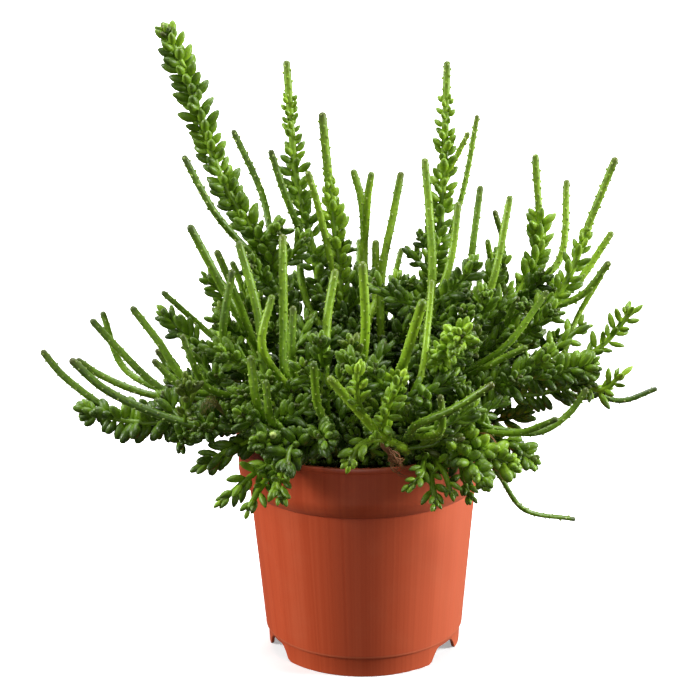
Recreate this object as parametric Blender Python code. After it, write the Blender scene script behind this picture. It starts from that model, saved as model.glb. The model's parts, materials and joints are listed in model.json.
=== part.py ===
"""Potted rhipsalis: a clump of branching cactus stems in a 12 cm plastic nursery pot.

The pot stands on its three feet at z = 0, with its axis on the origin, and the front of the plant
faces -Y. Sizes and places are in millimetres and become metres where a mesh is made.
"""
import math
import random
from dataclasses import dataclass, field

import bpy
import bmesh
import numpy as np
from mathutils import kdtree

MM = 0.001
FIT = 0.3                 # gap between neighbours that touch

# Pot
RIM_RADIUS = 60.5
RIM_HEIGHT = 107.0
COLLAR_RADIUS = 60.0
COLLAR_BOTTOM = 82.0
BODY_TOP_RADIUS = 54.9
BODY_BOTTOM_RADIUS = 48.5
FOOT_RADIUS = 47.0
FOOT_HEIGHT = 9.4
WALL = 1.5
LEDGE = 0.3               # half the height of the ledge above the foot ring
COLLAR_SWELL = ((2.4, 1.8), (4.4, 5.6))  # how far the collar stands out, and how far up, as it starts
LIP_HEIGHT = 2.1
LIP_INSET = 0.5           # how much the lip is thicker than the wall
FLOOR_TOP = 10.9
POT_SIDES = 42
FEET = 3
FOOT_HALF_ANGLE = 46.5    # degrees of each foot, on each side of its middle
NOTCH_HALF_ANGLE = 6.0    # degrees of the flat top of each notch, on each side
NOTCH_HEIGHT = 7.0
FRONT_FOOT_ANGLE = -94.0  # the middle of the front foot, from +X
DRAIN_HOLES = 4
DRAIN_SIDES = 8
DRAIN_RADIUS = 4.0
DRAIN_CIRCLE = 33.0
CUT_REACH = 3.0           # how far the drain cutter passes the floor on each side

# Soil
SOIL_TOP = 98.0
SOIL_LUMP = 1.0
SOIL_INNER_RING = 0.55    # radius of the soil's inner ring, as a share of the pot's rim
SOIL_WAVES = (3, 5)       # lumps round the soil, of two kinds
SOIL_SIDES = 21
HOLE_RADIUS = 2.65
HOLE_DEPTH = 12.0
HOLE_SIDES = 5
ROOT_CIRCLE = 47.0        # no stem stands further out than this
ROOT_SPACING = 7.4
ROOT_EASE = 0.4           # extra spacing while the roots are pushed apart
ROOT_PULL = 0.62          # where a stem's root stands, as a share of the way out to its first point
ROOT_ROUNDS = 400
START_HEIGHT = 12.0       # a stem stands nearly upright up to this height above the soil at most
START_SHARE = 0.45        # and up to this share of the height of its first point, plus START_BASE
START_BASE = 4.0
START_LEAN = 0.12         # how far it has leant out by then, as a share of the way

# Stems
ROOT_STEM = 1.7           # radius of a stem where it leaves the soil
CLAD_STEM = 1.45          # radius of a stem that carries grains
FINGER = 2.3              # radius of a bare finger
FINGER_TIP = 1.7
TIP_START = 0.55          # where a shoot starts to narrow to its tip, as a share of its length
TIP_RING = 0.72           # the last ring of a shoot, as a share of its radius there
TIP_LENGTH = 1.5
SIDE_ROOT = 1.0           # radius of a side shoot where it leaves its stem
SWELL = 16.0              # length over which a shoot reaches its full thickness
SWELL_START = 6.0         # where that starts above a stem's root
SIDE_SWELL_START = 4.0    # and from the foot of a side shoot
CLAD_SIDES = 4
FINGER_SIDES = 4
BARE_PITCH = 24.0         # between rings along a bare stretch
RING_TWIST = 41.0         # degrees from one whorl to the next
NODE_TWIST = 40.0         # degrees from one shoot's first ring to that of the next shoot

# Grains, the short joints that clothe a stem
GRAIN_LENGTH = 10.0
GRAIN_WIDTH = 4.8
GRAIN_BELLY = 0.56        # where the grain is widest, as a share of its length
GRAIN_LEAN = 50.0         # degrees from the stem's direction
TIP_LEAN = 0.65           # how much of that lean is left at the tip
TIP_LEAN_START = 0.8      # where the lean starts to lessen, as a share of the length
GRAIN_GAP = 0.35
GRAIN_FOOT = 2.2          # height of a grain's foot on its stem
WHORL_PITCH = 14.6        # between whorls of four grains
WHORL_TILT = 2.6          # how far a whorl slants along its stem, on each side
WHORL_START = 7.0         # from the last ring of the bare stretch below, at least
SHORT_GRAIN = 0.72        # a grain with little room, as a share of the full length

# Room between stems
STEP = 4.0                # between the points of a route
STEM_GAP = 0.7
CLAD_ROOM = 4.4           # half the room that a clad stretch keeps to the next stem
SETTLE_ROUNDS = 90
SETTLE_EASE = 0.55        # share of the lacking room that is made good in one round
SETTLE_LIMIT = 2.5        # no point moves further than this in one round
SAME_NODE_ROOM = 0.75     # shoots of one node may stand closer, by this share
SMOOTH_SHARE = 0.2        # share that each neighbour of a point has in its shift
SMOOTH_TIP = 0.15         # share that the last point but one has in the tip's shift
YOUNG_POINTS = 4          # points of a side shoot that may lie close to its own stem
STIFF_ABOVE_SOIL = 3.0    # length above the soil that doesn't bend
FREE_AFTER = 18.0         # length over which a shoot becomes free to bend
STIFF_TIP = (30.0, 0.35)  # length before the tip over which a shoot gets stiffer, and how free the tip is
RIM_CLIMB = 6.0           # a shoot this little below the rim passes over it
RIM_CLEAR = 0.8           # extra room inside the rim

GREEN = (0.10, 0.22, 0.03)
TERRACOTTA = (0.48, 0.10, 0.035)
DARK_SOIL = (0.035, 0.022, 0.014)


@dataclass
class Side:
    """A side shoot: where it leaves its stem, the points it passes, and its clad stretch."""
    start: float
    points: list
    clad: tuple = None


@dataclass
class Shoot:
    """A stem from the soil: the points it passes, its clad stretch and its side shoots."""
    name: str
    points: list
    clad: tuple = None
    sides: list = field(default_factory=list)


# The shoots that the photograph shows. The last point of each is its tip, and a clad stretch is
# given as shares of the length.
SHOOTS = [
    Shoot("spire_left_tall", [(-43, 5, 189), (-64, 5, 228), (-79, 5, 276), (-89, 5, 300)], (0.33, 1.0),
          [Side(0.42, [(-66, -10, 214), (-80, -10, 241)]),
           Side(0.42, [(-46, 22, 216), (-60, 25, 249)])]),
    Shoot("spire_left", [(-24, 25, 186), (-30, 28, 219), (-34, 30, 281)], (0.36, 0.88),
          [Side(0.5, [(-37, 20, 223), (-42, 20, 240)])]),
    Shoot("spire_middle", [(-11, 10, 188), (-14, 12, 221), (-17, 12, 258)], (0.36, 0.78),
          [Side(0.5, [(-20, 4, 218), (-24, 2, 232)])]),
    Shoot("spire_right", [(34, 15, 177), (39, 20, 206), (42, 25, 280)], (0.36, 0.88),
          [Side(0.70, [(47, 20, 237), (52, 20, 247)]), Side(0.4, [(50, 30, 217), (57, 32, 254)])]),
    Shoot("spire_right_far", [(74, 30, 160), (87, 35, 185), (86, 40, 234)], (0.42, 0.88),
          [Side(0.5, [(99, 42, 180), (103, 50, 220)])]),
    Shoot("spire_right_bowed", [(66, 6, 144), (96, 12, 172), (110, 15, 206), (121, 15, 235)], (0.38, 0.78),
          [Side(0.55, [(104, 22, 172), (123, 30, 197)]),
           Side(0.5, [(106, 4, 172), (117, 0, 188)])]),
    Shoot("spray_right", [(88, 0, 133), (113, 0, 146), (128, 0, 164)], (0.5, 1.0),
          [Side(0.6, [(105, 16, 158), (117, 20, 178)]),
           Side(0.6, [(111, -14, 131), (119, -16, 139)], (0.3, 1.0))]),
    Shoot("fingers_left_high", [(-50, -8, 150), (-62, -12, 176), (-78, -15, 210)], None,
          [Side(0.4, [(-57, -22, 178), (-65, -25, 200)]),
           Side(0.25, [(-62, -32, 158), (-57, -35, 193)])]),
    Shoot("finger_left_thick", [(-42, -34, 139), (-47, -30, 174), (-55, -25, 204)], (0.15, 0.4)),
    Shoot("finger_middle_thick", [(-34, -32, 141), (-35, -28, 166), (-35, -20, 206)], None,
          [Side(0.35, [(-31, -40, 155), (-30, -40, 177)]),
           Side(0.3, [(-44, -46, 160), (-39, -44, 183)])]),
    Shoot("fingers_middle_front", [(-16, -50, 135), (-15, -38, 170), (-11, -32, 192)], None,
          [Side(0.3, [(-19, -76, 142), (-20, -86, 163)])]),
    Shoot("finger_middle", [(0, -46, 145), (2, -54, 170), (1, -58, 200)], (0.25, 0.5)),
    Shoot("fingers_middle_pair", [(3, 15, 180), (1, 20, 215), (-3, 21, 230)], (0.42, 0.62),
          [Side(0.7, [(4, 12, 218), (6, 11, 230)])]),
    Shoot("finger_middle_back", [(10, 8, 180), (16, 14, 209), (20, 18, 229)]),
    Shoot("fingers_right_high", [(33, -12, 180), (32, -8, 214), (30, -5, 238)], (0.3, 0.5),
          [Side(0.45, [(42, -4, 189), (46, 0, 217)])]),
    Shoot("fingers_right_back", [(50, 5, 170), (54, 8, 200), (57, 10, 223)], None,
          [Side(0.4, [(62, 12, 180), (60, 6, 198)]), Side(0.45, [(69, 25, 190), (65, 25, 209)])]),
    Shoot("fingers_right_curved", [(50, -16, 150), (61, -15, 182), (69, -10, 221)], None,
          [Side(0.36, [(66, -24, 153), (86, -18, 178)]),
           Side(0.34, [(65, -32, 150), (75, -36, 156)])]),
    Shoot("finger_bright", [(12, -62, 138), (18, -74, 159), (26, -86, 189)], None,
          [Side(0.25, [(25, -50, 143), (30, -40, 168), (32, -34, 187)])]),
    Shoot("berries_right_back", [(60, 28, 150), (82, 32, 163), (95, 30, 171)], (0.5, 1.0)),
    Shoot("berries_right", [(56, -26, 134), (82, -23, 139), (108, -20, 143)], (0.35, 1.0),
          [Side(0.65, [(95, -10, 152), (105, -6, 159)], (0.3, 1.0))]),
    Shoot("berries_right_low", [(56, -8, 126), (82, -10, 126), (110, -12, 132)], (0.35, 1.0)),
    Shoot("arm_right_long", [(62, 20, 128), (103, 24, 124), (128, 28, 112), (148, 32, 117)], None,
          [Side(0.55, [(106, 6, 120), (118, 2, 124)])]),
    Shoot("arm_right_front", [(52, -42, 120), (79, -50, 120), (93, -47, 128), (101, -45, 139)], None,
          [Side(0.4, [(70, -56, 122), (86, -62, 130)])]),
    Shoot("arm_right_hanging", [(44, -46, 120), (60, -59, 104), (72, -56, 86), (97, -46, 77)], None,
          [Side(0.3, [(42, -66, 108), (46, -74, 98)], (0.1, 1.0))]),
    Shoot("bunch_right", [(36, -44, 117), (52, -61, 114), (68, -62, 106)], (0.35, 1.0),
          [Side(0.4, [(47, -74, 113), (54, -77, 104)], (0.1, 1.0))]),
    Shoot("bunch_right_low", [(46, -34, 116), (66, -44, 112), (78, -48, 104)], (0.3, 1.0)),
    Shoot("arm_front", [(20, -60, 120), (24, -82, 134), (40, -96, 146), (54, -105, 158)], None,
          [Side(0.4, [(33, -86, 132), (32, -92, 149)])]),
    Shoot("spray_front_right", [(28, -52, 116), (32, -68, 112), (31, -80, 96)], (0.35, 1.0),
          [Side(0.6, [(27, -78, 109), (21, -82, 105)], (0.1, 1.0)),
           Side(0.6, [(35, -74, 106), (37, -77, 99)], (0.1, 1.0))]),
    Shoot("spray_middle", [(20, -62, 117), (9, -76, 127), (-3, -85, 143), (-14, -88, 157)], None,
          [Side(0.6, [(-1, -84, 126), (-6, -86, 117)], (0.1, 1.0)),
           Side(0.6, [(11, -86, 143), (17, -90, 157)], (0.1, 1.0)),
           Side(0.75, [(-2, -90, 150), (-2, -94, 163)], (0.3, 1.0))]),
    Shoot("fingers_front_left", [(-38, -50, 122), (-45, -62, 138), (-48, -62, 160)], (0.15, 0.5),
          [Side(0.3, [(-39, -70, 132), (-41, -72, 151)])]),
    Shoot("bunch_front", [(-14, -50, 118), (-20, -70, 124), (-16, -84, 128)], (0.35, 1.0),
          [Side(0.4, [(-30, -74, 122), (-32, -84, 116)], (0.1, 1.0))]),
    Shoot("bunch_front_left", [(-30, -44, 118), (-38, -64, 122), (-46, -78, 126)], (0.3, 1.0)),
    Shoot("spray_front_left", [(-34, -50, 114), (-42, -68, 107), (-50, -80, 95)], (0.35, 1.0),
          [Side(0.6, [(-52, -70, 104), (-61, -74, 97)], (0.1, 1.0)),
           Side(0.55, [(-38, -76, 106), (-36, -82, 101)], (0.1, 1.0))]),
    Shoot("spray_left", [(-44, -34, 114), (-58, -42, 112), (-71, -46, 105)], (0.3, 1.0)),
    Shoot("arm_left_long", [(-52, -20, 118), (-99, -24, 116), (-136, -22, 139), (-148, -20, 153)]),
    Shoot("arm_left_front", [(-48, -38, 118), (-78, -45, 124), (-114, -45, 140), (-130, -45, 155)]),
    Shoot("arms_left", [(-55, 6, 118), (-102, 8, 123), (-127, 10, 133), (-138, 10, 141)], None,
          [Side(0.6, [(-117, 20, 134), (-127, 26, 161)])]),
    Shoot("arm_left_bowed", [(-48, -4, 122), (-91, -4, 127), (-118, 0, 151), (-128, 0, 163)]),
    Shoot("arms_left_high", [(-46, -14, 126), (-81, -15, 136), (-95, -12, 155), (-107, -10, 171)], None,
          [Side(0.4, [(-80, -30, 136), (-95, -32, 151)]),
           Side(0.35, [(-70, -40, 140), (-80, -42, 165)])]),
    Shoot("clad_left", [(-46, 8, 128), (-69, 7, 140), (-95, 8, 164)], (0.4, 1.0),
          [Side(0.35, [(-68, 22, 144), (-97, 24, 171)])]),
    Shoot("clad_left_high", [(-38, 10, 150), (-60, 8, 168), (-72, 4, 182)], (0.4, 1.0)),
    Shoot("bunch_left", [(-50, -30, 117), (-76, -34, 123), (-102, -35, 122), (-129, -30, 127)], (0.42, 1.0),
          [Side(0.45, [(-84, -20, 121), (-108, -18, 124)], (0.15, 1.0))]),
    Shoot("rosette_right", [(34, -36, 145), (39, -64, 164), (42, -88, 174)], (0.45, 1.0)),
]

# The shoots on the side away from the viewer: direction in degrees from +X, reach, height of the
# tip, rise (how high the stem stands before it leans out), and kind.
BACK_SHOOTS = [
    (38, 122, 138, 122, "arm"), (62, 114, 150, 130, "arm"), (90, 107, 142, 124, "arm"),
    (117, 116, 154, 132, "arm"), (147, 124, 140, 122, "arm"),
    (47, 100, 116, 120, "bunch"), (76, 94, 124, 126, "bunch"), (103, 98, 112, 118, "bunch"),
    (133, 102, 120, 122, "bunch"),
    (22, 72, 168, 140, "clad"), (57, 66, 182, 148, "clad"), (88, 58, 190, 150, "clad"),
    (122, 70, 178, 146, "clad"), (158, 66, 186, 150, "clad"),
    (75, 22, 196, 160, "fingers"),
]


def back_shoots():
    """Return the shoots of the far side, each with side shoots at seeded places."""
    draw = random.Random(11)
    shoots = []
    for number, (angle, reach, height, rise, kind) in enumerate(BACK_SHOOTS, 1):
        def place(share, turn, z):
            """Return the point at a share of the reach, turned aside by some degrees."""
            a = math.radians(angle + turn)
            return (reach * share * math.cos(a), reach * share * math.sin(a), z)
        wander = draw.uniform(-7, 7)
        low = rise + 0.25 * (height - rise)
        points = [place(0.5, 0, rise), place(0.8, wander, low), place(1.0, wander, height)]
        spread = draw.uniform(10, 15)
        tip = height + draw.uniform(-8, 4)
        if kind == "arm":
            clad = None
            sides = [Side(0.45, [place(0.75, spread, rise), place(0.86, spread + 2, tip)]),
                     Side(0.35, [place(0.6, -spread, rise + 8), place(0.72, -spread - 3, tip + 12)])]
        elif kind == "bunch":
            clad = (0.45, 1.0)
            sides = [Side(0.4, [place(0.75, spread, rise - 2), place(0.9, spread + 4, tip - 4)],
                          (0.2, 1.0))]
        elif kind == "clad":
            clad = (0.42, 0.85)
            sides = [Side(0.3, [place(0.9, -spread, rise + 4), place(1.05, -spread - 6, tip)])]
        else:
            clad = (0.4, 0.6)
            sides = [Side(0.35, [place(1.6, 60, rise + 8), place(1.9, 60, tip)])]
        shoots.append(Shoot(f"back_{kind}_{number:02d}", points, clad, sides))
    return shoots


@dataclass
class Strand:
    """One stem or side shoot as a route of close points, with the room it takes."""
    node: int
    home: np.ndarray
    points: np.ndarray
    radius: np.ndarray
    room: np.ndarray
    free: np.ndarray
    clad: tuple
    parent: int = -1
    joint: int = 0


def lengths_along(points):
    """Return the distance of each point along its route."""
    return np.concatenate([[0.0], np.cumsum(np.linalg.norm(np.diff(points, axis=0), axis=1))])


def smooth_route(points):
    """Return evenly spaced points on a smooth curve through the given ones."""
    knots = [np.array(p, dtype=float) for p in points]
    knots = [2 * knots[0] - knots[1]] + knots + [2 * knots[-1] - knots[-2]]
    fine = []
    for a, b, c, d in zip(knots, knots[1:], knots[2:], knots[3:]):
        # Centripetal spacing keeps the curve from looping between uneven points.
        roots = [max(np.linalg.norm(q - p), 1e-6) ** 0.5 for p, q in ((a, b), (b, c), (c, d))]
        t = np.cumsum([0.0] + roots)
        for u in np.linspace(t[1], t[2], 16, endpoint=False):
            ab = ((t[1] - u) * a + (u - t[0]) * b) / (t[1] - t[0])
            bc = ((t[2] - u) * b + (u - t[1]) * c) / (t[2] - t[1])
            cd = ((t[3] - u) * c + (u - t[2]) * d) / (t[3] - t[2])
            abc = ((t[2] - u) * ab + (u - t[0]) * bc) / (t[2] - t[0])
            bcd = ((t[3] - u) * bc + (u - t[1]) * cd) / (t[3] - t[1])
            fine.append(((t[2] - u) * abc + (u - t[1]) * bcd) / (t[2] - t[1]))
    fine.append(knots[-2])
    fine = np.array(fine)
    along = lengths_along(fine)
    count = max(4, round(along[-1] / STEP) + 1)
    even = np.linspace(0, along[-1], count)
    return np.stack([np.interp(even, along, fine[:, i]) for i in range(3)], axis=1)


def root_places(shoots):
    """Return where each stem stands in the soil, near the way it goes, and clear of the others."""
    places = []
    for shoot in shoots:
        first = np.array(shoot.points[0][:2], dtype=float)
        reach = np.linalg.norm(first)
        wanted = min(ROOT_CIRCLE, ROOT_PULL * reach)
        places.append(first / max(reach, 1e-6) * wanted)
    places = np.array(places)
    for _ in range(ROOT_ROUNDS):
        apart = places[:, None] - places[None]
        dist = np.linalg.norm(apart, axis=2) + np.eye(len(places)) * 1e3
        push = np.clip(ROOT_SPACING + ROOT_EASE - dist, 0, None) / 2
        places = places + (apart / dist[..., None] * push[..., None]).sum(axis=1)
        out = np.linalg.norm(places, axis=1)
        places *= np.minimum(1.0, ROOT_CIRCLE / np.maximum(out, 1e-6))[:, None]
    return places


def shoot_radius(length, is_side, clad):
    """Return a function of the distance along a shoot that gives its radius."""
    root = SIDE_ROOT if is_side else ROOT_STEM
    is_clad_to_tip = clad is not None and clad[1] > 0.95
    thick = CLAD_STEM if clad is not None else FINGER
    tip = CLAD_STEM * 0.8 if is_clad_to_tip else FINGER_TIP if clad is None else CLAD_STEM * 1.15
    swell_start = SIDE_SWELL_START if is_side else HOLE_DEPTH + SWELL_START

    def radius(s):
        grown = min(1.0, max(0.0, (s - swell_start) / SWELL))
        ending = min(1.0, max(0.0, (s - TIP_START * length) / ((1 - TIP_START) * length)))
        return (root + (thick - root) * grown) * (1 - ending) + tip * ending
    return radius


def make_strand(node, points, clad, parent=-1, joint=0):
    """Return the strand of one stem or side shoot."""
    along = lengths_along(points)
    length = along[-1]
    radius_at = shoot_radius(length, parent >= 0, clad)
    radius = np.array([radius_at(s) for s in along])
    room = radius.copy()
    if clad is not None:
        inside = (along >= clad[0] * length) & (along <= clad[1] * length)
        room[inside] = CLAD_ROOM
    above = along if parent >= 0 else along - HOLE_DEPTH - STIFF_ABOVE_SOIL
    stiff_length, tip_freedom = STIFF_TIP
    free = np.clip(above / FREE_AFTER, 0, 1) * np.clip((length - along) / stiff_length + tip_freedom, 0, 1)
    if parent < 0:
        free[points[:, 2] < SOIL_TOP + STIFF_ABOVE_SOIL] = 0.0
    return Strand(node, points.copy(), points, radius, room, free, clad, parent, joint)


def all_strands(shoots):
    """Return the strands of every shoot, each side shoot after its stem."""
    strands = []
    roots = root_places(shoots)
    for node, (shoot, root) in enumerate(zip(shoots, roots)):
        x, y = root
        first = np.array(shoot.points[0], dtype=float)
        lift = SOIL_TOP + min(START_HEIGHT, START_SHARE * (first[2] - SOIL_TOP) + START_BASE)
        start = [(x, y, SOIL_TOP - HOLE_DEPTH + FIT), (x, y, SOIL_TOP + 1),
                 (x + START_LEAN * (first[0] - x), y + START_LEAN * (first[1] - y), lift)]
        main = len(strands)
        strands.append(make_strand(node, smooth_route(start + shoot.points), shoot.clad))
        stem = strands[main].points
        for side in shoot.sides:
            joint = int(side.start * (len(stem) - 1))
            a, b = stem[joint - 1], stem[joint]
            first_side = np.array(side.points[0], dtype=float)
            bend = b + (b - a) * 0.6 + (first_side - b) * 0.22
            route = smooth_route([b, bend] + side.points)
            strands.append(make_strand(node, route, side.clad, main, joint))
    return strands


def keep_off_pot(p, r):
    """Return a point moved clear of the rim, the wall and the soil."""
    clear = r + STEM_GAP
    out = math.hypot(p[0], p[1])
    inner = RIM_RADIUS - WALL - RIM_CLEAR - clear
    outer = RIM_RADIUS + clear
    if p[2] >= RIM_HEIGHT + clear or out <= 1e-6:
        return p
    q = p.copy()
    if inner < out < outer:
        up = RIM_HEIGHT + clear - p[2]
        inwards, outwards = out - inner, outer - out
        if up <= min(inwards, outwards) or up < RIM_CLIMB:
            q[2] += up
        elif outwards < inwards:
            q[:2] *= outer / out
        else:
            q[:2] *= inner / out
    elif out <= inner:
        q[2] = max(q[2], SOIL_TOP + SOIL_LUMP + clear)
    return q


def close_pairs(points, owner, widest):
    """Return the index pairs of points of different strands that lie close together."""
    tree = kdtree.KDTree(len(points))
    for i, p in enumerate(points):
        tree.insert(p, i)
    tree.balance()
    first, second = [], []
    for i, p in enumerate(points):
        for _, j, _ in tree.find_range(p, widest):
            if j > i and owner[j] != owner[i]:
                first.append(i)
                second.append(j)
    return np.array(first), np.array(second)


def shift_strand(s, push, strands):
    """Move a strand by its push, smoothed along it, with its foot on its stem."""
    shift = s.points + push - s.home
    if s.parent >= 0:
        stem = strands[s.parent]
        shift[0] = stem.points[s.joint] - stem.home[s.joint]
    smooth = shift.copy()
    smooth[1:-1] = (1 - 2 * SMOOTH_SHARE) * shift[1:-1] + SMOOTH_SHARE * (shift[:-2] + shift[2:])
    smooth[-1] = (1 - SMOOTH_TIP) * shift[-1] + SMOOTH_TIP * shift[-2]
    if s.parent < 0:
        smooth[s.free == 0] = 0.0
    s.points = s.home + smooth
    for k in np.nonzero(s.free > 0)[0]:
        s.points[k] = keep_off_pot(s.points[k], s.radius[k])


def bend_clear(strands):
    """Push the routes of neighbouring shoots apart until none touches another."""
    owner = np.concatenate([np.full(len(s.points), i) for i, s in enumerate(strands)])
    index = np.concatenate([np.arange(len(s.points)) for s in strands])
    node = np.array([s.node for s in strands])[owner]
    room = np.concatenate([s.room for s in strands])
    free = np.concatenate([s.free for s in strands])
    is_side = np.array([s.parent >= 0 for s in strands])[owner]
    is_young = is_side & (index < YOUNG_POINTS)
    starts = np.cumsum([0] + [len(s.points) for s in strands])
    widest = 2 * CLAD_ROOM + STEM_GAP + STEP
    for _ in range(SETTLE_ROUNDS):
        points = np.concatenate([s.points for s in strands])
        first, second = close_pairs(points, owner, widest)
        same = node[first] == node[second]
        young = is_young[first] | is_young[second]
        keep = ~(same & young)
        first, second, same = first[keep], second[keep], same[keep]
        apart = points[first] - points[second]
        dist = np.linalg.norm(apart, axis=1) + 1e-9
        both = room[first] + room[second]
        need = np.where(same, SAME_NODE_ROOM * both + 0.5, both + STEM_GAP)
        lack = np.clip(need - dist, 0, None)
        share = free[first] / (free[first] + free[second] + 1e-9)
        move = apart / dist[:, None] * (lack * SETTLE_EASE)[:, None]
        push = np.zeros_like(points)
        np.add.at(push, first, move * share[:, None])
        np.add.at(push, second, -move * (1 - share)[:, None])
        size = np.linalg.norm(push, axis=1)
        push *= np.minimum(1.0, SETTLE_LIMIT / np.maximum(size, 1e-9))[:, None] * (free > 0)[:, None]
        for number, s in enumerate(strands):
            shift_strand(s, push[starts[number]:starts[number + 1]], strands)


def segment_gap(p, a, b):
    """Return the distance from a point to the segment from a to b."""
    ab = b - a
    t = np.clip(np.dot(p - a, ab) / max(np.dot(ab, ab), 1e-12), 0.0, 1.0)
    return float(np.linalg.norm(p - a - ab * t))


class Rings:
    """The rings of a strand's mesh: their middles, directions, radii and corners."""

    def __init__(self, strand):
        points = strand.points
        along = lengths_along(points)
        length = along[-1]
        self.sides = CLAD_SIDES if strand.clad is not None else FINGER_SIDES
        radius_at = shoot_radius(length, strand.parent >= 0, strand.clad)
        self.whorls = []
        self.places = self.spread(strand, length)
        ways = [np.interp(self.places, along, points[:, i]) for i in range(3)]
        self.middles = list(np.stack(ways, axis=1))
        self.radii = [radius_at(s) for s in self.places]
        self.radii[-1] *= TIP_RING
        self.tip = points[-1]
        self.directions = self.find_directions()
        self.corners = self.find_corners(strand)

    def spread(self, strand, length):
        """Return the distances along the strand at which its rings stand, and note its whorls."""
        end = length - TIP_LENGTH
        stops = [0.0] if strand.parent >= 0 else [0.0, HOLE_DEPTH + 2.0]
        if strand.clad is not None:
            low = max(strand.clad[0] * length, stops[-1] + WHORL_START)
            high = min(strand.clad[1] * length, end)
            self.add_bare(stops, low)
            count = max(1, round((high - low) / WHORL_PITCH))
            pitch = (high - low) / count
            for k in range(count):
                middle = low + (k + 0.5) * pitch
                self.whorls.append(len(stops))
                stops += [middle - GRAIN_FOOT / 2, middle + GRAIN_FOOT / 2]
        self.add_bare(stops, end)
        return stops

    @staticmethod
    def add_bare(stops, end):
        """Add stops at an even pitch from the last one up to an end."""
        start = stops[-1]
        count = max(1, round((end - start) / BARE_PITCH))
        stops += [start + (end - start) * (k + 1) / count for k in range(count)]

    def find_directions(self):
        """Return the direction of the strand at each ring."""
        chain = [2 * self.middles[0] - self.middles[1]] + self.middles + [self.tip]
        found = []
        for a, b in zip(chain, chain[2:]):
            found.append((b - a) / np.linalg.norm(b - a))
        return found

    def find_corners(self, strand):
        """Return the corners of each ring, turned from one whorl to the next."""
        side = np.cross(self.directions[0], (0.3, 1.0, 0.2))
        corners = []
        turn = math.radians(NODE_TWIST * strand.node)
        rings = zip(self.middles, self.directions, self.radii)
        for number, (middle, way, radius) in enumerate(rings):
            side = side - way * np.dot(side, way)
            side /= np.linalg.norm(side)
            other = np.cross(way, side)
            in_whorl = number in self.whorls or number - 1 in self.whorls
            tilt = WHORL_TILT if in_whorl else 0.0
            if number in self.whorls:
                turn += math.radians(RING_TWIST)
            ring = []
            for k in range(self.sides):
                a = turn + 2 * math.pi * k / self.sides
                slant = way * tilt * math.cos(a - turn + math.pi / 4)
                ring.append(middle + radius * (math.cos(a) * side + math.sin(a) * other) + slant)
            corners.append(ring)
        return corners

    def grain_faces(self):
        """Yield the ring and side of each face that may carry a grain."""
        for ring in self.whorls:
            for side in range(self.sides):
                yield ring, side


@dataclass
class Grain:
    """One grain on a face of a stem: its foot, its direction and its length."""
    foot: np.ndarray
    way: np.ndarray
    across: np.ndarray
    length: float

    def samples(self):
        """Return points along the grain with its half thickness at each."""
        shares = ((0.22, 0.75), (0.4, 0.95), (0.55, 1.0), (0.75, 0.6), (1.0, 0.05))
        return [(self.foot + self.way * self.length * t, GRAIN_WIDTH / 2 * w) for t, w in shares]


def find_grain(rings, ring, side, length):
    """Return the grain that a face would carry."""
    after = (side + 1) % rings.sides
    quad = [rings.corners[ring][side], rings.corners[ring][after],
            rings.corners[ring + 1][after], rings.corners[ring + 1][side]]
    foot = sum(quad) / 4
    along = rings.middles[ring + 1] - rings.middles[ring]
    along /= np.linalg.norm(along)
    out = foot - (rings.middles[ring] + rings.middles[ring + 1]) / 2
    out -= along * np.dot(out, along)
    out /= np.linalg.norm(out)
    lean = math.radians(GRAIN_LEAN)
    near_tip = rings.places[ring] / rings.places[-1]
    ending = max(0.0, near_tip - TIP_LEAN_START) / (1 - TIP_LEAN_START)
    lean *= 1.0 - (1 - TIP_LEAN) * ending
    way = math.sin(lean) * out + math.cos(lean) * along
    return Grain(foot, way, np.cross(out, along), length)


class Crowd:
    """What already stands near a place: the stems of all strands, and the grains placed so far."""
    CELL = 8.0

    def __init__(self, rings):
        self.cells = {}
        for number, ring_set in enumerate(rings):
            chain = ring_set.middles + [ring_set.tip]
            radii = ring_set.radii + [ring_set.radii[-1]]
            for a, b, ra, rb in zip(chain, chain[1:], radii, radii[1:]):
                self.add_span(number, a, b, max(ra, rb))

    def key(self, p):
        """Return the cell that holds a point."""
        return tuple(int(math.floor(v / self.CELL)) for v in p)

    def add_span(self, number, a, b, radius):
        """Note a straight span of a strand, in pieces shorter than a cell."""
        count = max(1, math.ceil(np.linalg.norm(b - a) / STEP))
        for k in range(count):
            low, high = a + (b - a) * k / count, a + (b - a) * (k + 1) / count
            self.cells.setdefault(self.key((low + high) / 2), []).append((number, low, high, radius))

    def is_clear(self, grain, number):
        """Say whether a grain of a strand stays clear of all else."""
        for p, r in grain.samples():
            out = math.hypot(p[0], p[1])
            if p[2] < RIM_HEIGHT + r + GRAIN_GAP:
                if RIM_RADIUS - WALL - RIM_CLEAR - r < out < RIM_RADIUS + r + GRAIN_GAP:
                    return False
                if out < RIM_RADIUS and p[2] < SOIL_TOP + SOIL_LUMP + r + GRAIN_GAP:
                    return False
            x, y, z = self.key(p)
            for i in (x - 1, x, x + 1):
                for j in (y - 1, y, y + 1):
                    for k in (z - 1, z, z + 1):
                        for owner, a, b, radius in self.cells.get((i, j, k), ()):
                            if owner != number and segment_gap(p, a, b) < radius + r + GRAIN_GAP:
                                return False
        return True

    def add(self, grain, number):
        """Note a grain that has been placed."""
        marks = grain.samples()
        for (a, ra), (b, rb) in zip(marks, marks[1:]):
            self.add_span(number, a, b, max(ra, rb))


def place_grains(rings):
    """Return the grains of each strand, by the face that carries each."""
    crowd = Crowd(rings)
    placed = [{} for _ in rings]
    for number, ring_set in enumerate(rings):
        for ring, side in ring_set.grain_faces():
            for length in (GRAIN_LENGTH, SHORT_GRAIN * GRAIN_LENGTH):
                grain = find_grain(ring_set, ring, side, length)
                if crowd.is_clear(grain, number):
                    placed[number][(ring, side)] = grain
                    crowd.add(grain, number)
                    break
    return placed


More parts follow.
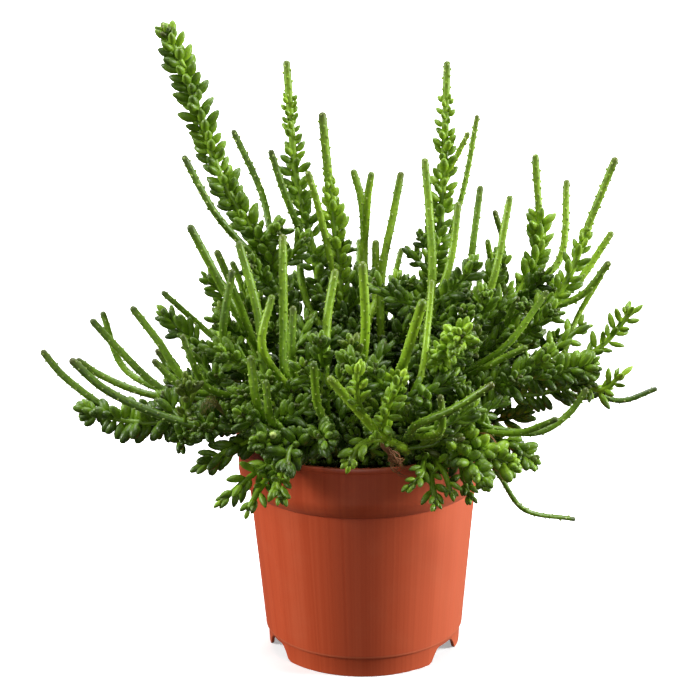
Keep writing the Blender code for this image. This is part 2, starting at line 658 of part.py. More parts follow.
def strand_mesh(name, rings, grains):
    """Return the closed mesh of a strand, with a grain drawn out of each face that carries one."""
    build = bmesh.new()
    loops = [[build.verts.new(p * MM) for p in ring] for ring in rings.corners]
    tip = build.verts.new(rings.tip * MM)
    build.faces.new(list(reversed(loops[0])))
    sides = rings.sides
    for ring, (low, high) in enumerate(zip(loops, loops[1:])):
        for k in range(sides):
            after = (k + 1) % sides
            quad = [low[k], low[after], high[after], high[k]]
            grain = grains.get((ring, k))
            if grain is None:
                build.faces.new((quad[0], quad[1], quad[2]))
                build.faces.new((quad[0], quad[2], quad[3]))
            else:
                add_grain(build, quad, grain)
    for k in range(sides):
        build.faces.new((loops[-1][k], loops[-1][(k + 1) % sides], tip))
    bmesh.ops.triangulate(build, faces=build.faces[:])
    bmesh.ops.recalc_face_normals(build, faces=build.faces[:])
    mesh = bpy.data.meshes.new(name)
    build.to_mesh(mesh)
    build.free()
    return mesh


def add_grain(build, quad, grain):
    """Draw a spindle-shaped grain out of one face of a stem."""
    up = np.cross(grain.across, grain.way)
    belly = grain.foot + grain.way * grain.length * GRAIN_BELLY
    half = GRAIN_WIDTH / 2 * math.sqrt(0.5)
    ring = []
    for s, u in ((1, -1), (-1, -1), (-1, 1), (1, 1)):
        ring.append(build.verts.new((belly + half * (s * grain.across + u * up)) * MM))
    tip = build.verts.new((grain.foot + grain.way * grain.length) * MM)
    for k in range(4):
        after = (k + 1) % 4
        build.faces.new((quad[k], quad[after], ring[after]))
        build.faces.new((quad[k], ring[after], ring[k]))
        build.faces.new((ring[k], ring[after], tip))


def principled(name, colour, roughness):
    """Return a plain material of one colour."""
    material = bpy.data.materials.new(name)
    material.use_nodes = True
    shader = material.node_tree.nodes["Principled BSDF"]
    shader.inputs["Base Color"].default_value = (*colour, 1.0)
    shader.inputs["Roughness"].default_value = roughness
    return material


def add_object(name, mesh, material):
    """Link a mesh as an object with its own material."""
    mesh.materials.clear()
    if material is not None:
        mesh.materials.append(material)
    item = bpy.data.objects.new(name, mesh)
    bpy.context.scene.collection.objects.link(item)
    return item


def is_closed(mesh):
    """Say whether every edge of a mesh has two faces."""
    check = bmesh.new()
    check.from_mesh(mesh)
    closed = len(check.faces) > 0 and all(len(edge.link_faces) == 2 for edge in check.edges)
    check.free()
    return closed


def join_pieces(name, meshes, material):
    """Return one object whose mesh is the union of a stem and its side shoots."""
    stem = add_object(name, meshes[0], material)
    if len(meshes) == 1:
        return stem
    group = bpy.data.collections.new(name + "_sides")
    bpy.context.scene.collection.children.link(group)
    for number, mesh in enumerate(meshes[1:]):
        group.objects.link(bpy.data.objects.new(f"{name}_side_{number}", mesh))
    union = stem.modifiers.new("Union", "BOOLEAN")
    union.operation = "UNION"
    union.operand_type = "COLLECTION"
    union.collection = group
    for solver in ("EXACT", "MANIFOLD"):
        union.solver = solver
        bpy.context.view_layer.update()
        graph = bpy.context.evaluated_depsgraph_get()
        joined = bpy.data.meshes.new_from_object(stem.evaluated_get(graph))
        if is_closed(joined):
            break
    stem.modifiers.remove(union)
    stem.data = joined
    joined.name = name
    for item in list(group.objects):
        bpy.data.objects.remove(item)
    bpy.data.collections.remove(group)
    return stem


def make_plant(shoots):
    """Make one object for each stem with its side shoots, and return the places of the roots."""
    strands = all_strands(shoots)
    bend_clear(strands)
    rings = [Rings(strand) for strand in strands]
    grains = place_grains(rings)
    for node, shoot in enumerate(shoots):
        meshes = []
        for number, strand in enumerate(strands):
            if strand.node == node:
                meshes.append(strand_mesh(shoot.name, rings[number], grains[number]))
        material = principled(shoot.name + "_green", GREEN, 0.5)
        item = join_pieces(shoot.name, meshes, material)
        item.data.set_sharp_from_angle(angle=math.radians(50))
        item.data.shade_smooth()
    return [s.points[0][:2] for s in strands if s.parent < 0]


def turned_mesh(name, profile, sides, lift=None):
    """Return a closed mesh turned round the Z axis from a profile that starts and ends on it."""
    build = bmesh.new()
    first = build.verts.new((0, 0, profile[0][1] * MM))
    last = build.verts.new((0, 0, profile[-1][1] * MM))
    rings = []
    for place, (radius, z) in enumerate(profile[1:-1]):
        ring = []
        for k in range(sides):
            a = math.radians(FRONT_FOOT_ANGLE) + 2 * math.pi * k / sides
            height = z if lift is None else lift(place, k * 360.0 / sides, radius, z)
            spot = (radius * math.cos(a) * MM, radius * math.sin(a) * MM, height * MM)
            ring.append(build.verts.new(spot))
        rings.append(ring)
    for k in range(sides):
        after = (k + 1) % sides
        build.faces.new((first, rings[0][after], rings[0][k]))
        build.faces.new((last, rings[-1][k], rings[-1][after]))
        for low, high in zip(rings, rings[1:]):
            build.faces.new((low[k], low[after], high[after], high[k]))
    bmesh.ops.recalc_face_normals(build, faces=build.faces[:])
    mesh = bpy.data.meshes.new(name)
    build.to_mesh(mesh)
    build.free()
    return mesh


def pot_profile():
    """Return the pot's profile, from the middle of its underside round the wall to its floor."""
    slope = (BODY_TOP_RADIUS - BODY_BOTTOM_RADIUS) / (COLLAR_BOTTOM - FOOT_HEIGHT)
    floor_radius = BODY_BOTTOM_RADIUS - WALL + slope * WALL
    (low_out, low_up), (high_out, high_up) = COLLAR_SWELL
    lip = RIM_HEIGHT - LIP_HEIGHT
    foot = [
        (0, FOOT_HEIGHT), (FOOT_RADIUS - WALL, FOOT_HEIGHT), (FOOT_RADIUS - WALL, 0), (FOOT_RADIUS, 0),
        (FOOT_RADIUS, FOOT_HEIGHT - LEDGE), (BODY_BOTTOM_RADIUS, FOOT_HEIGHT + LEDGE),
    ]
    collar = [
        (BODY_TOP_RADIUS, COLLAR_BOTTOM), (BODY_TOP_RADIUS + low_out, COLLAR_BOTTOM + low_up),
        (BODY_TOP_RADIUS + high_out, COLLAR_BOTTOM + high_up), (COLLAR_RADIUS, lip - LIP_INSET),
        (RIM_RADIUS, lip), (RIM_RADIUS, RIM_HEIGHT), (RIM_RADIUS - WALL - LIP_INSET, RIM_HEIGHT),
    ]
    inside = [
        (collar_inside(), COLLAR_BOTTOM + high_up + 0.8),
        (BODY_TOP_RADIUS - WALL, COLLAR_BOTTOM + 1.0), (floor_radius, FLOOR_TOP), (0, FLOOR_TOP),
    ]
    return foot + collar + inside


def collar_inside():
    """Return the inner radius of the collar where it starts."""
    return BODY_TOP_RADIUS + COLLAR_SWELL[1][0] - WALL


def foot_lift(place, angle, radius, z):
    """Return the height of a corner, raised where the foot ring is notched."""
    if z > 0:
        return z
    period = 360.0 / FEET
    from_foot = abs((angle + period / 2) % period - period / 2)
    slope = period / 2 - FOOT_HALF_ANGLE - NOTCH_HALF_ANGLE
    return NOTCH_HEIGHT * min(1.0, max(0.0, (from_foot - FOOT_HALF_ANGLE) / slope))


def cylinder_mesh(name, places, radius, bottom, top, sides):
    """Return one mesh with a separate upright cylinder at each place."""
    build = bmesh.new()
    for x, y in places:
        rings = []
        for z in (bottom, top):
            ring = []
            for k in range(sides):
                a = 2 * math.pi * (k + 0.25) / sides
                spot = ((x + radius * math.cos(a)) * MM, (y + radius * math.sin(a)) * MM, z * MM)
                ring.append(build.verts.new(spot))
            rings.append(ring)
        build.faces.new(list(reversed(rings[0])))
        build.faces.new(rings[1])
        for k in range(sides):
            after = (k + 1) % sides
            build.faces.new((rings[0][k], rings[0][after], rings[1][after], rings[1][k]))
    mesh = bpy.data.meshes.new(name)
    build.to_mesh(mesh)
    build.free()
    return mesh


def cut_holes(item, cutter_mesh):
    """Cut a mesh of upright cylinders out of an object."""
    cutter = add_object(cutter_mesh.name, cutter_mesh, None)
    cutter.hide_render = True
    cutter.display_type = "WIRE"
    cut = item.modifiers.new("Holes", "BOOLEAN")
    cut.operation = "DIFFERENCE"
    cut.solver = "EXACT"
    cut.object = cutter


def make_pot():
    """Make the pot with its drain holes."""
    pot = add_object("pot", turned_mesh("pot", pot_profile(), POT_SIDES, foot_lift),
                     principled("terracotta_plastic", TERRACOTTA, 0.45))
    pot.data.shade_smooth()
    pot.data.set_sharp_from_angle(angle=math.radians(35))
    turns = [2 * math.pi * (k + 0.5) / DRAIN_HOLES for k in range(DRAIN_HOLES)]
    places = [(DRAIN_CIRCLE * math.cos(a), DRAIN_CIRCLE * math.sin(a)) for a in turns]
    bottom, top = FOOT_HEIGHT - CUT_REACH, FLOOR_TOP + CUT_REACH
    cut_holes(pot, cylinder_mesh("drain_cutter", places, DRAIN_RADIUS, bottom, top, DRAIN_SIDES))


def soil_lift(place, angle, radius, z):
    """Return the height of a corner of the soil, with low lumps on its top."""
    if z < SOIL_TOP - 0.1:
        return z
    a = math.radians(angle)
    few, many = SOIL_WAVES
    return SOIL_TOP + 0.8 * SOIL_LUMP * math.sin(few * a + radius * 0.11) * math.cos(many * a + 1.3)


def make_soil(roots):
    """Make the soil that fills the pot, with a plain hole for each stem."""
    corner = 1.0 / math.cos(math.pi / POT_SIDES)
    fit = (FIT + 0.1) * corner
    start = COLLAR_BOTTOM + COLLAR_SWELL[1][1]
    profile = [
        (0, FLOOR_TOP + FIT), (BODY_BOTTOM_RADIUS - WALL - fit, FLOOR_TOP + FIT),
        (BODY_TOP_RADIUS - WALL - fit, COLLAR_BOTTOM + 1.2), (collar_inside() - fit, start + 1.2),
        (collar_inside() + FIT - fit, SOIL_TOP), (SOIL_INNER_RING * RIM_RADIUS, SOIL_TOP), (0, SOIL_TOP),
    ]
    mesh = turned_mesh("soil", profile, SOIL_SIDES, soil_lift)
    soil = add_object("soil", mesh, principled("dark_soil", DARK_SOIL, 0.95))
    bottom, top = SOIL_TOP - HOLE_DEPTH, SOIL_TOP + HOLE_DEPTH / 2
    cut_holes(soil, cylinder_mesh("root_cutter", roots, HOLE_RADIUS, bottom, top, HOLE_SIDES))


def main():
    """Make the plant, the pot and the soil in an empty scene."""
    for item in list(bpy.data.objects):
        bpy.data.objects.remove(item)
    roots = make_plant(SHOOTS + back_shoots())
    make_pot()
    make_soil(roots)


main()
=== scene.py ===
"""Looks of the potted rhipsalis: fine stems with plump grains, the moulded pot and crumbly soil.

Sizes and places are in millimetres and become metres where a mesh is made. The pot's axis is the
Z axis, and the front of the plant faces -Y.
"""

import json
import logging
import math
import random
from collections.abc import Callable, Iterator
from dataclasses import dataclass, field
from enum import Enum, IntEnum
from itertools import product

import bmesh
import bpy
import numpy as np
from bpy.types import Material, Mesh, Node, NodeTree, Object
from mathutils import Matrix, Vector, kdtree, noise
from numpy.linalg import norm

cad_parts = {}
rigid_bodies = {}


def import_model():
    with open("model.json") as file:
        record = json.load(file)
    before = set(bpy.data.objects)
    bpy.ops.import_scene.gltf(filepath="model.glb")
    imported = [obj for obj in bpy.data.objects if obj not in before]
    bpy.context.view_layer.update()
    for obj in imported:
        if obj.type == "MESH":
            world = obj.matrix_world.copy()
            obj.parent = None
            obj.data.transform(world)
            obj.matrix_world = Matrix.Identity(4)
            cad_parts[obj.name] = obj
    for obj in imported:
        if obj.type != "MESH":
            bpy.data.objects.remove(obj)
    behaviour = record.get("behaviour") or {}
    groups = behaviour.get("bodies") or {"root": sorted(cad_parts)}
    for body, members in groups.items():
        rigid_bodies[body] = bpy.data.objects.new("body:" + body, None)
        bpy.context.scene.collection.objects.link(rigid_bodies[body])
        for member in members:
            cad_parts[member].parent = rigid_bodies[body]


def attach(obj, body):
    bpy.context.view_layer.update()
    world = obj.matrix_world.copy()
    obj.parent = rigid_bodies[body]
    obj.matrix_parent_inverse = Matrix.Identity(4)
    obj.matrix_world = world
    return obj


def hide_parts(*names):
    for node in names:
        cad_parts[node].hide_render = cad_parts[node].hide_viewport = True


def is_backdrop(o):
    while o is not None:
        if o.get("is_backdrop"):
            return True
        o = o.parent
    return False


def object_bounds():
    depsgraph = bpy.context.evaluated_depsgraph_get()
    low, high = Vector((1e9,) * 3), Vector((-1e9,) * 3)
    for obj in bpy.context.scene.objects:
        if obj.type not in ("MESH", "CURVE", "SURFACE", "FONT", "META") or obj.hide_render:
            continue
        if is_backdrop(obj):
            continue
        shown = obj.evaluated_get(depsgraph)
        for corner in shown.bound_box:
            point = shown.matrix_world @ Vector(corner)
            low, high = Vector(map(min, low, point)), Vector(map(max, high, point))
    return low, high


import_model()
CAD_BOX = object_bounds()

MM = 0.001
GOLDEN_TURN = math.radians(137.508)
CLAD_TO_TIP = 0.95  # a stretch that ends beyond this share of a shoot has grains up to its tip
Point = tuple[float, float, float]
Stretch = tuple[float, float]
Array = np.ndarray
Socket = bpy.types.NodeSocket
log = logging.getLogger("rhipsalis")


class Habit(Enum):
    """How a shoot grows, which settles the look of its grains."""
    TALL_SPIRE = "tall spire"
    SPIRE = "spire"
    FINGER = "finger"
    ARM = "arm"
    BUNCH = "bunch"
    BERRIES = "berries"
    CLAD = "clad"
    ROSETTE = "rosette"
    SPRAY = "spray"
    TWIG = "twig"


class Part(IntEnum):
    """What a point of a shoot stands for."""
    LINE = 0
    GRAIN = 1
    AREOLE = 2
    LEAF = 3


@dataclass
class Side:
    """A side shoot: where it leaves its stem, the points it passes, and its clad stretch."""
    start: float
    points: list[Point]
    clad: Stretch | None = None


@dataclass
class Shoot:
    """A stem from the soil: the points it passes, its clad stretch and its side shoots."""
    name: str
    points: list[Point]
    clad: Stretch | None = None
    sides: list[Side] = field(default_factory=list)

    @property
    def habit(self) -> Habit:
        """Return how this shoot grows, which its name says."""
        words = self.name.removeprefix("back_").split("_")
        if self.name == "spire_left_tall":
            return Habit.TALL_SPIRE
        kinds = {"fingers": "finger", "arms": "arm"}
        return Habit(kinds.get(words[0], words[0]))


# The last point of each shoot is its tip. A clad stretch is given as shares of the length.
SHOOTS = [
    Shoot("spire_left_tall", [(-43, 5, 189), (-64, 5, 228), (-79, 5, 276), (-89, 5, 300)], (0.33, 1.0),
          [Side(0.42, [(-66, -10, 214), (-80, -10, 241)]),
           Side(0.42, [(-46, 22, 216), (-60, 25, 249)])]),
    Shoot("spire_left", [(-24, 25, 186), (-30, 28, 219), (-34, 30, 281)], (0.36, 0.88),
          [Side(0.5, [(-37, 20, 223), (-42, 20, 240)])]),
    Shoot("spire_middle", [(-11, 10, 188), (-14, 12, 221), (-17, 12, 258)], (0.36, 0.78),
          [Side(0.5, [(-20, 4, 218), (-24, 2, 232)])]),
    Shoot("spire_right", [(34, 15, 177), (39, 20, 206), (42, 25, 280)], (0.36, 0.88),
          [Side(0.70, [(47, 20, 237), (52, 20, 247)]), Side(0.4, [(50, 30, 217), (57, 32, 254)])]),
    Shoot("spire_right_far", [(74, 30, 160), (87, 35, 185), (86, 40, 234)], (0.42, 0.88),
          [Side(0.5, [(99, 42, 180), (103, 50, 220)])]),
    Shoot("spire_right_bowed",
          [(66, 6, 144), (96, 12, 172), (110, 15, 206), (121, 15, 235)], (0.38, 0.78),
          [Side(0.55, [(104, 22, 172), (123, 30, 197)]),
           Side(0.5, [(106, 4, 172), (117, 0, 188)])]),
    Shoot("spray_right", [(88, 0, 133), (113, 0, 146), (128, 0, 164)], (0.5, 1.0),
          [Side(0.6, [(105, 16, 158), (117, 20, 178)]),
           Side(0.6, [(111, -14, 131), (119, -16, 139)], (0.3, 1.0))]),
    Shoot("fingers_left_high", [(-50, -8, 150), (-62, -12, 176), (-78, -15, 210)], None,
          [Side(0.4, [(-57, -22, 178), (-65, -25, 200)]),
           Side(0.25, [(-62, -32, 158), (-57, -35, 193)])]),
    Shoot("finger_left_thick", [(-42, -34, 139), (-47, -30, 174), (-55, -25, 204)], (0.15, 0.4)),
    Shoot("finger_middle_thick", [(-34, -32, 141), (-35, -28, 166), (-35, -20, 206)], None,
          [Side(0.35, [(-31, -40, 155), (-30, -40, 177)]),
           Side(0.3, [(-44, -46, 160), (-39, -44, 183)])]),
    Shoot("fingers_middle_front", [(-16, -50, 135), (-15, -38, 170), (-11, -32, 192)], None,
          [Side(0.3, [(-19, -76, 142), (-20, -86, 163)])]),
    Shoot("finger_middle", [(0, -46, 145), (2, -54, 170), (1, -58, 200)], (0.25, 0.5)),
    Shoot("fingers_middle_pair", [(3, 15, 180), (1, 20, 215), (-3, 21, 230)], (0.42, 0.62),
          [Side(0.7, [(4, 12, 218), (6, 11, 230)])]),
    Shoot("finger_middle_back", [(10, 8, 180), (16, 14, 209), (20, 18, 229)]),
    Shoot("fingers_right_high", [(33, -12, 180), (32, -8, 214), (30, -5, 238)], (0.3, 0.5),
          [Side(0.45, [(42, -4, 189), (46, 0, 217)])]),
    Shoot("fingers_right_back", [(50, 5, 170), (54, 8, 200), (57, 10, 223)], None,
          [Side(0.4, [(62, 12, 180), (60, 6, 198)]), Side(0.45, [(69, 25, 190), (65, 25, 209)])]),
    Shoot("fingers_right_curved", [(50, -16, 150), (61, -15, 182), (69, -10, 221)], None,
          [Side(0.36, [(66, -24, 153), (86, -18, 178)]),
           Side(0.34, [(65, -32, 150), (75, -36, 156)])]),
    Shoot("finger_bright", [(12, -62, 138), (18, -74, 159), (26, -86, 189)], None,
          [Side(0.25, [(25, -50, 143), (30, -40, 168), (32, -34, 187)])]),
    Shoot("berries_right_back", [(60, 28, 150), (82, 32, 163), (95, 30, 171)], (0.5, 1.0)),
    Shoot("berries_right", [(56, -26, 134), (82, -23, 139), (108, -20, 143)], (0.35, 1.0),
          [Side(0.65, [(95, -10, 152), (105, -6, 159)], (0.3, 1.0))]),
    Shoot("berries_right_low", [(56, -8, 126), (82, -10, 126), (110, -12, 132)], (0.35, 1.0)),
    Shoot("arm_right_long", [(62, 20, 128), (103, 24, 124), (128, 28, 112), (148, 32, 117)], None,
          [Side(0.55, [(106, 6, 120), (118, 2, 124)])]),
    Shoot("arm_right_front", [(52, -42, 120), (79, -50, 120), (93, -47, 128), (101, -45, 139)], None,
          [Side(0.4, [(70, -56, 122), (86, -62, 130)])]),
    Shoot("arm_right_hanging", [(44, -46, 120), (60, -59, 104), (72, -56, 86), (97, -46, 77)], None,
          [Side(0.3, [(42, -66, 108), (46, -74, 98)], (0.1, 1.0))]),
    Shoot("bunch_right", [(36, -44, 117), (52, -61, 114), (68, -62, 106)], (0.35, 1.0),
          [Side(0.4, [(47, -74, 113), (54, -77, 104)], (0.1, 1.0))]),
    Shoot("bunch_right_low", [(46, -34, 116), (66, -44, 112), (78, -48, 104)], (0.3, 1.0)),
    Shoot("arm_front", [(20, -60, 120), (24, -82, 134), (40, -96, 146), (54, -105, 158)], None,
          [Side(0.4, [(33, -86, 132), (32, -92, 149)])]),
    Shoot("spray_front_right", [(28, -52, 116), (32, -68, 112), (31, -80, 96)], (0.35, 1.0),
          [Side(0.6, [(27, -78, 109), (21, -82, 105)], (0.1, 1.0)),
           Side(0.6, [(35, -74, 106), (37, -77, 99)], (0.1, 1.0))]),
    Shoot("spray_middle", [(20, -62, 117), (9, -76, 127), (-3, -85, 143), (-14, -88, 157)], None,
          [Side(0.6, [(-1, -84, 126), (-6, -86, 117)], (0.1, 1.0)),
           Side(0.6, [(11, -86, 143), (17, -90, 157)], (0.1, 1.0)),
           Side(0.75, [(-2, -90, 150), (-2, -94, 163)], (0.3, 1.0))]),
    Shoot("fingers_front_left", [(-38, -50, 122), (-45, -62, 138), (-48, -62, 160)], (0.15, 0.5),
          [Side(0.3, [(-39, -70, 132), (-41, -72, 151)])]),
    Shoot("bunch_front", [(-14, -50, 118), (-20, -70, 124), (-16, -84, 128)], (0.35, 1.0),
          [Side(0.4, [(-30, -74, 122), (-32, -84, 116)], (0.1, 1.0))]),
    Shoot("bunch_front_left", [(-30, -44, 118), (-38, -64, 122), (-46, -78, 126)], (0.3, 1.0)),
    Shoot("spray_front_left", [(-34, -50, 114), (-42, -68, 107), (-50, -80, 95)], (0.35, 1.0),
          [Side(0.6, [(-52, -70, 104), (-61, -74, 97)], (0.1, 1.0)),
           Side(0.55, [(-38, -76, 106), (-36, -82, 101)], (0.1, 1.0))]),
    Shoot("spray_left", [(-44, -34, 114), (-58, -42, 112), (-71, -46, 105)], (0.3, 1.0)),
    Shoot("arm_left_long", [(-52, -20, 118), (-99, -24, 116), (-136, -22, 139), (-148, -20, 153)]),
    Shoot("arm_left_front", [(-48, -38, 118), (-78, -45, 124), (-114, -45, 140), (-130, -45, 155)]),
    Shoot("arms_left", [(-55, 6, 118), (-102, 8, 123), (-127, 10, 133), (-138, 10, 141)], None,
          [Side(0.6, [(-117, 20, 134), (-127, 26, 161)])]),
    Shoot("arm_left_bowed", [(-48, -4, 122), (-91, -4, 127), (-118, 0, 151), (-128, 0, 163)]),
    Shoot("arms_left_high", [(-46, -14, 126), (-81, -15, 136), (-95, -12, 155), (-107, -10, 171)], None,
          [Side(0.4, [(-80, -30, 136), (-95, -32, 151)]),
           Side(0.35, [(-70, -40, 140), (-80, -42, 165)])]),
    Shoot("clad_left", [(-46, 8, 128), (-69, 7, 140), (-95, 8, 164)], (0.4, 1.0),
          [Side(0.35, [(-68, 22, 144), (-97, 24, 171)])]),
    Shoot("clad_left_high", [(-38, 10, 150), (-60, 8, 168), (-72, 4, 182)], (0.4, 1.0)),
    Shoot("bunch_left",
          [(-50, -30, 117), (-76, -34, 123), (-102, -35, 122), (-129, -30, 127)], (0.42, 1.0),
          [Side(0.45, [(-84, -20, 121), (-108, -18, 124)], (0.15, 1.0))]),
    Shoot("rosette_right", [(34, -36, 145), (39, -64, 164), (42, -88, 174)], (0.45, 1.0)),
]

# The shoots away from the viewer: direction in degrees from +X, reach, height of the tip, rise
# (how high the stem stands before it leans out), and kind.
BACK_SEED = 11
BACK_SHOOTS = [
    (38, 122, 138, 122, "arm"), (62, 114, 150, 130, "arm"), (90, 107, 142, 124, "arm"),
    (117, 116, 154, 132, "arm"), (147, 124, 140, 122, "arm"),
    (47, 100, 116, 120, "bunch"), (76, 94, 124, 126, "bunch"), (103, 98, 112, 118, "bunch"),
    (133, 102, 120, 122, "bunch"),
    (22, 72, 168, 140, "clad"), (57, 66, 182, 148, "clad"), (88, 58, 190, 150, "clad"),
    (122, 70, 178, 146, "clad"), (158, 66, 186, 150, "clad"),
    (75, 22, 196, 160, "fingers"),
]


def back_shoots() -> list[Shoot]:
    """Return the shoots of the far side, each with side shoots at seeded places."""
    draw = random.Random(BACK_SEED)
    shoots = []
    for number, (angle, reach, height, rise, kind) in enumerate(BACK_SHOOTS, 1):
        def place(share: float, turn: float, z: float) -> Point:
            """Return the point at a share of the reach, turned aside by some degrees."""
            a = math.radians(angle + turn)
            return (reach * share * math.cos(a), reach * share * math.sin(a), z)
        wander = draw.uniform(-7, 7)
        low = rise + 0.25 * (height - rise)
        points = [place(0.5, 0, rise), place(0.8, wander, low), place(1.0, wander, height)]
        spread = draw.uniform(10, 15)
        tip = height + draw.uniform(-8, 4)
        if kind == "arm":
            clad = None
            sides = [Side(0.45, [place(0.75, spread, rise), place(0.86, spread + 2, tip)]),
                     Side(0.35, [place(0.6, -spread, rise + 8), place(0.72, -spread - 3, tip + 12)])]
        elif kind == "bunch":
            clad = (0.45, 1.0)
            sides = [Side(0.4, [place(0.75, spread, rise - 2), place(0.9, spread + 4, tip - 4)],
                          (0.2, 1.0))]
        elif kind == "clad":
            clad = (0.42, 0.85)
            sides = [Side(0.3, [place(0.9, -spread, rise + 4), place(1.05, -spread - 6, tip)])]
        else:
            clad = (0.4, 0.6)
            sides = [Side(0.35, [place(1.6, 60, rise + 8), place(1.9, 60, tip)])]
        shoots.append(Shoot(f"back_{kind}_{number:02d}", points, clad, sides))
    return shoots


@dataclass
class Strand:
    """One stem or side shoot as a route of close points, with the room it takes."""
    node: int
    home: Array
    points: Array
    radius: Array
    room: Array
    free: Array
    clad: Stretch | None
    parent: int = -1
    joint: int = 0
    is_twig: bool = False


def lengths_along(points: Array) -> Array:
    """Return the distance of each point along its route."""
    return np.concatenate([[0.0], np.cumsum(norm(np.diff(points, axis=0), axis=1))])


def at_length(values: Array, along: Array, s: float) -> Array:
    """Return what a route's values come to at a distance along it."""
    return np.array([np.interp(s, along, values[:, i]) for i in range(3)])


def smooth_route(points: list | Array, step: float) -> Array:
    """Return evenly spaced points on a smooth curve through the given ones.

    Args:
        points: the points that the curve passes.
        step: the wanted distance between the points returned.

    Returns:
        An array with a row for each point.
    """
    knots = [np.array(p, dtype=float) for p in points]
    knots = [2 * knots[0] - knots[1]] + knots + [2 * knots[-1] - knots[-2]]
    fine = []
    for a, b, c, d in zip(knots, knots[1:], knots[2:], knots[3:]):
        # Centripetal spacing keeps the curve from looping between uneven points.
        roots = [max(norm(q - p), 1e-6) ** 0.5 for p, q in ((a, b), (b, c), (c, d))]
        t = np.cumsum([0.0] + roots)
        for u in np.linspace(t[1], t[2], 16, endpoint=False):
            ab = ((t[1] - u) * a + (u - t[0]) * b) / (t[1] - t[0])
            bc = ((t[2] - u) * b + (u - t[1]) * c) / (t[2] - t[1])
            cd = ((t[3] - u) * c + (u - t[2]) * d) / (t[3] - t[2])
            abc = ((t[2] - u) * ab + (u - t[0]) * bc) / (t[2] - t[0])
            bcd = ((t[3] - u) * bc + (u - t[1]) * cd) / (t[3] - t[1])
            fine.append(((t[2] - u) * abc + (u - t[1]) * bcd) / (t[2] - t[1]))
    fine.append(knots[-2])
    fine = np.array(fine)
    along = lengths_along(fine)
    count = max(4, round(along[-1] / step) + 1)
    even = np.linspace(0, along[-1], count)
    return np.stack([np.interp(even, along, fine[:, i]) for i in range(3)], axis=1)


